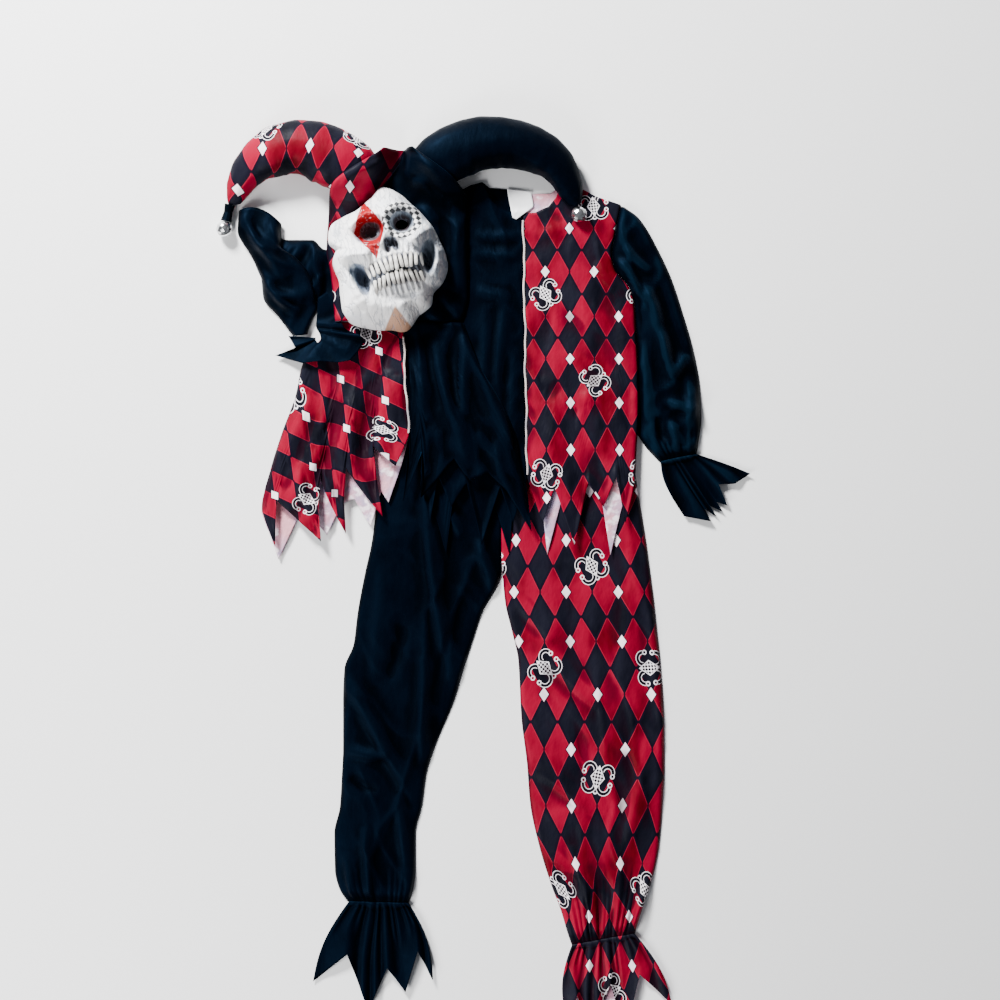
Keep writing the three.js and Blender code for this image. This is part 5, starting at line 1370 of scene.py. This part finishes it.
for shade, pattern, folds, turn, rests in HOODS:
    front = hood_plan(shade)
    on_left = shade == "harlequin"
    lay(
        front, lambda x, y: hood_base(x, y) + PLY, rounds=90, folds=folds, gap=0.8,
        roll=side_roll(front, 8, left=on_left, right=not on_left), ripple=((2.4, 40, 62), (1.0, 18, 63)),
        creased=((3, turn, 30, 110, 66), (1.6, 60, 24, 60, 67)),
    )
    sew(f"hood_{shade}_over", f"hood_front_{shade}", front, shade, pattern, drop=face_opening)


# Mask: its surface as heights over the face, in its own tilted frame
def around_mask(x, y):
    return x - MASK_CENTRE[0], y - MASK_CENTRE[1]


def reach_by_angle(outline):
    """Rows of angle and distance from the mask's middle, once round and a row over at each end."""
    places = [around_mask(x, y) for x, y in outline]
    rows = sorted((math.degrees(math.atan2(dy, dx)) % 360, math.hypot(dx, dy)) for dx, dy in places)
    return [(rows[-1][0] - 360, rows[-1][1]), *rows, (rows[0][0] + 360, rows[0][1])]


MASK_REACH = reach_by_angle(MASK_OUTLINE)


def mask_reach(angle):
    return between(MASK_REACH, np.degrees(angle) % 360, smooth=True)


def turned_by(angle, x, y):
    """x and y read along axes turned by the angle."""
    return x * math.cos(angle) + y * math.sin(angle), -x * math.sin(angle) + y * math.cos(angle)


def to_mask(x, y):
    return turned_by(MASK_TILT, *around_mask(x, y))


def from_mask(across, up):
    dx, dy = turned_by(-MASK_TILT, across, up)
    return MASK_CENTRE[0] + dx, MASK_CENTRE[1] + dy


def ridge_height(across, up):
    """Rounded ridges between pairs of points."""
    height = np.zeros_like(across)
    for a1, u1, a2, u2, wide, tall in MASK_RIDGES:
        da, du = a2 - a1, u2 - u1
        share = np.clip(((across - a1) * da + (up - u1) * du) / (da * da + du * du), 0, 1)
        off = np.hypot(across - a1 - share * da, up - u1 - share * du) / wide
        height = np.maximum(height, tall * np.exp(-(off**2)))
    return height


def mask_relief(x, y):
    """How far each point stands above or below the plain dome."""
    across, up = to_mask(x, y)
    relief = 1.3 * soft_noise(across + 300, up + 300, 15, 81) + 0.6 * soft_noise(across + 90, up + 700, 6, 82)
    relief = relief - 2.0 * creases(across + 500, up + 500, 25, 17, 46, 83)
    for centre_across, centre_up, wide, tall, turn, height, sharp in MASK_HOLLOWS_AND_BUMPS:
        a, b = turned_by(math.radians(turn), across - centre_across, up - centre_up)
        relief = relief + height * np.exp(-(((a / wide) ** 2 + (b / tall) ** 2) ** sharp))
    relief = relief + ridge_height(across, up)
    for root_up, half_tall, half_wide, count in TOOTH_ROOTS:
        inside = np.exp(-((((up - root_up) / half_tall) ** 2) ** 2) - (((across - 10) / half_wide) ** 2) ** 3)
        relief = relief + 2.4 * inside * np.cos((across - 10) / half_wide * math.pi * count)
    return relief


def mask_height(x, y):
    dx, dy = around_mask(x, y)
    share = np.minimum(np.hypot(dx, dy) / mask_reach(np.arctan2(dy, dx)), 1)
    dome = MASK_RELIEF * np.sqrt(np.clip(1 - share**2.6, 0, 1))
    return dome + mask_relief(x, y) * np.sqrt(np.clip(1 - share**6, 0, 1)) + MASK_RIM_Z


def mask_plan():
    """Plan of the mask's mesh, its nearest points drawn onto the rims of the eye holes."""
    angle = np.linspace(0, 2 * np.pi, MASK_SPOKES, endpoint=False)[:, None]
    reach = mask_reach(angle) * np.sin(np.pi / 2 * np.linspace(0.004, 1, MASK_RINGS))[None, :]
    x = MASK_CENTRE[0] + reach * np.cos(angle)
    y = MASK_CENTRE[1] + reach * np.sin(angle)
    for across, up, half_width, half_height in EYE_HOLES:
        a, b = to_mask(x, y)
        off = np.hypot((a - across) / half_width, (b - up) / half_height)
        factor = np.where((off > 0.88) & (off < 1.12), 1 / off, 1)
        x, y = from_mask(across + (a - across) * factor, up + (b - up) * factor)
    return x, y


def painted_latex():
    """Bone-white latex with painted shade, grey-blue over its right side and in its hollows; a red lozenge
    over one eye, a checked ring round the other.
    """
    paint = Paint("painted_latex")
    face = paint.uv("face")
    across, up = paint.parts(face)
    hollow = paint.parts(paint.uv("relief"))[0]
    grain = paint.noise(240, 4, 0.6)
    streaks_of_shade_and_relief = paint.noise(60, 5, 0.65, paint.stretched((2.6, 0.6, 1), 0.75))

    def spot(a, b, wide, tall, edge, wobble):
        off = far((across - a) * (1 / wide), (up - b) * (1 / tall)) + (paint.noise(90) - 0.5) * wobble
        return off.step(1 + edge, 1 - edge)

    # Painted shade: grey-blue streaks over the mask's right side and in its hollows.
    shade = paint.mix(streaks_of_shade_and_relief.step(0.42, 0.6), (0.13, 0.18, 0.25), (0.44, 0.51, 0.59))
    color = paint.coats(
        paint.mix(paint.noise(20, 4, 0.6).step(0.4, 0.75), (0.97, 0.96, 0.95), (0.84, 0.86, 0.9)),
        (across.step(30, 74) * streaks_of_shade_and_relief.step(0.36, 0.6) * 0.85, shade),
        ((hollow + (streaks_of_shade_and_relief - 0.5) * 0.5).step(-0.08, -0.62) * 0.9, shade),
    )
    for *place, share, tint in MASK_SPOTS:
        color = paint.mix(spot(*place) * share, color, tint)
    red = paint.mix(grain.step(0.3, 0.7), (0.42, 0.002, 0.008), (0.2, 0.0, 0.003))
    mark = abs(across + 14) * (1 / 25) + abs(up - 50) * (1 / 50) + paint.noise(120) * 0.16
    off_socket = 1.0 - spot(-14, 48.5, 16.5, 15, 0.1, 0.2)
    red_share = mark.step(1.12, 1.06) * paint.noise(150).step(0.3, 0.38) * off_socket
    checks = paint.read("ShaderNodeTexChecker", {
        "Vector": paint.stretched((0.155, 0.155, 0.155), 0.8, face), "Scale": 1.0,
        "Color1": (0.006, 0.006, 0.008), "Color2": (0.9, 0.9, 0.9)})
    band = spot(39, 51, 31, 30, 0.03, 0.14) * (1.0 - spot(38, 49, 18.5, 18, 0.06, 0.14))
    lower = -76.0 - up
    notch = (lower * 0.7 - abs(across + 5.4 + lower * 0.25)).step(-1.0, 3.0)
    # Painted shade: grey lines along the wrinkle grooves, which the bump also sinks.
    wrinkles = paint.noise(1, 3, 0.55, paint.stretched((0.062, 0.024, 1), 0.35, face))
    groove = abs(wrinkles - 0.5).step(0.03, 0.006) * (1.0 - band.then("MAXIMUM", red_share))
    roots = ((across + (across - 10) * (up * 0.006)) * 0.72).then("SINE")
    rooted = spot(10, -24, 50, 46, 0.3, 0.3) * roots.step(0.55, 0.98)
    color = paint.coats(
        color, (red_share, red), (band * 0.95, checks), (notch * 0.9, (0.46, 0.22, 0.11)),
        (groove * 0.42, (0.26, 0.3, 0.37)), (rooted * 0.5, (0.2, 0.21, 0.25)),
    )
    normal = paint.bump(grain, 0.3, 0.0012, paint.bump(streaks_of_shade_and_relief - groove * 0.5, 0.6, 0.003))
    return paint.finish(color, 0.46, normal, Specular_IOR_Level=0.3)


def teeth_latex():
    paint = Paint("teeth_latex")
    edge, rooted = paint.parts(paint.uv("tooth"))
    streaks = paint.noise(420).step(0.48, 0.7)
    # The sides of each tooth are painted near-black as shade between the teeth.
    color = paint.coats(
        paint.mix(paint.noise(120).step(0.3, 0.7), (0.9, 0.88, 0.82), (0.72, 0.69, 0.64)),
        (streaks * 0.25, (0.3, 0.27, 0.24)),
        (abs(edge).step(0.5, 0.95) * 0.95, (0.05, 0.045, 0.05)),
        (rooted.step(0.1, 1.0) * 0.6, (0.3, 0.27, 0.26)),
    )
    return paint.finish(color, 0.35, paint.bump(streaks, 0.2, 0.0005), Specular_IOR_Level=0.4)


def mask_piece():
    x, y = mask_plan()
    z = mask_height(x, y)
    z[:, -1] = MASK_RIM_Z
    across, up = to_mask(x, y)
    hole = np.zeros(x.shape, bool)
    for a, b, half_width, half_height in EYE_HOLES:
        hole |= np.hypot((across - a) / half_width, (up - b) / half_height) < 0.97
    number = np.arange(x.size).reshape(x.shape)
    after = np.roll(number, -1, axis=0)
    quads = np.stack([number[:, :-1], number[:, 1:], after[:, 1:], after[:, :-1]], -1).reshape(-1, 4)
    quads = quads[~hole.ravel()[quads].any(axis=1)]
    middle = [*map(float, MASK_CENTRE), float(mask_height(*np.array(MASK_CENTRE, float)))]
    points = np.concatenate([np.stack([x, y, z], -1).reshape(-1, 3), [middle]])
    faces = [*quads.tolist(), *([int(a), int(b), x.size] for a, b in zip(number[:, 0], after[:, 0]))]
    used = sorted({v for face in faces for v in face})
    fresh = {v: i for i, v in enumerate(used)}
    faces = [[fresh[v] for v in face] for face in faces]
    points = points[used]
    face = np.stack(to_mask(points[:, 0], points[:, 1]), -1)
    relief = mask_relief(points[:, 0], points[:, 1]) / 20
    layers = {"face": face, "relief": np.stack([relief, 0 * relief], -1)}
    piece = mesh_object("mask", points, faces, (painted_latex(),), layers)
    thick = piece.modifiers.new("wall", "SOLIDIFY")
    thick.thickness, thick.offset = MASK_WALL * MM, -1
    applied(piece)
    stand_in(piece, "mask_shell")


mask_piece()


def signed_power(value, power):
    return math.copysign(abs(value) ** power, value)


def tooth(across, up, wide, tall, turn, root):
    """One tooth: a rounded block that narrows towards its root, which is up where root is 1."""
    height = lambda x, y: float(mask_height(np.array(x), np.array(y)))
    under = height(*from_mask(across, up))
    placed, pairs = [], []
    for r in range(TOOTH_RINGS + 1):
        polar = math.pi * r / TOOTH_RINGS
        for s in range(TOOTH_SPOKES):
            angle = 2 * math.pi * s / TOOTH_SPOKES
            # a across, b towards the root and c outwards, each from -1 to 1
            a = signed_power(math.cos(angle), 0.6) * signed_power(math.sin(polar), 0.5)
            b = signed_power(math.sin(angle), 0.6) * signed_power(math.sin(polar), 0.5)
            c = signed_power(math.cos(polar), 0.8)
            side, rise = a * wide / 2 * (1 - 0.17 * b * root), b * tall / 2
            turned_side, turned_rise = turned_by(-turn, side, rise)
            x, y = from_mask(across + turned_side, up + turned_rise)
            ground = 0.5 * (height(x, y) + under)
            sunk = 4.5 * max(0, b * root) ** 2
            placed.append((x, y, ground + 0.8 - sunk + c * TOOTH_DEEP / 2 * (1 - 0.2 * b * root)))
            pairs.append((a, b * root))
    faces = []
    for r in range(TOOTH_RINGS):
        for s in range(TOOTH_SPOKES):
            here, after = r * TOOTH_SPOKES + s, r * TOOTH_SPOKES + (s + 1) % TOOTH_SPOKES
            faces.append((here, here + TOOTH_SPOKES, after + TOOTH_SPOKES, after))
    return placed, faces, pairs


TOOTH = teeth_latex()
for node, up, reach, tall, sag, count, root in TEETH_ROWS:
    points, faces, pairs = [], [], []
    for k in range(count):
        side = 2 * (k + 0.5) / count - 1
        wide = 2 * reach / count * (0.94 - 0.12 * abs(side) + 0.08 * math.sin(k * 3.1 + up))
        height = tall * (1.04 - 0.2 * side * side + 0.11 * math.sin(k * 2.3 + up))
        turn = -0.24 * side * root + 0.1 * math.sin(k * 4.7 + up)
        placed, made, pair = tooth(10 + reach * side, up - sag * side * side, wide, height, turn, root)
        faces += [tuple(v + len(points) for v in face) for face in made]
        points += placed
        pairs += pair
    stand_in(mesh_object(node + "_shaped", points, faces, (TOOTH,), {"tooth": pairs}), node)

# Parts that keep their solid's shape
METAL = bell_nickel()
for node, material in (("bell_left", METAL), ("bell_right", METAL), ("horn_end_band", BLACK)):
    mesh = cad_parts[node].data
    mesh.materials.clear()
    mesh.materials.append(material)
    shade_smooth(mesh)

# Floor, camera and light
bpy.ops.mesh.primitive_plane_add(size=14, location=(0, 0, -0.0006))
floor = bpy.context.object
floor.name = "floor"
floor.data.materials.append(Paint("pale_floor").finish((0.9, 0.9, 0.9), 0.7))

camera_data = bpy.data.cameras.new("camera")
camera = bpy.data.objects.new("camera", camera_data)
bpy.context.scene.collection.objects.link(camera)
camera_data.lens, camera_data.sensor_width = LENS, SENSOR
camera.location = (0, 0, PHOTO_WIDTH * LENS / SENSOR)
camera_data.clip_end = 50
bpy.context.scene.camera = camera


def area_light(name, location, size, power):
    data = bpy.data.lights.new(name, "AREA")
    data.energy, data.size = power, size
    lamp = bpy.data.objects.new(name, data)
    lamp.location = location
    lamp.rotation_mode = "QUATERNION"
    lamp.rotation_quaternion = Vector(location).to_track_quat("Z", "Y")
    bpy.context.scene.collection.objects.link(lamp)


area_light("key", (-1.5, 2.5, 1.8), 0.7, 460)
area_light("fill", (-1.7, -1.5, 1.6), 1.2, 95)
world = bpy.data.worlds.new("soft_surround")
world.use_nodes = True
background = world.node_tree.nodes["Background"]
background.inputs[0].default_value = (0.9, 0.93, 1.0, 1)
background.inputs[1].default_value = 0.2
bpy.context.scene.world = world
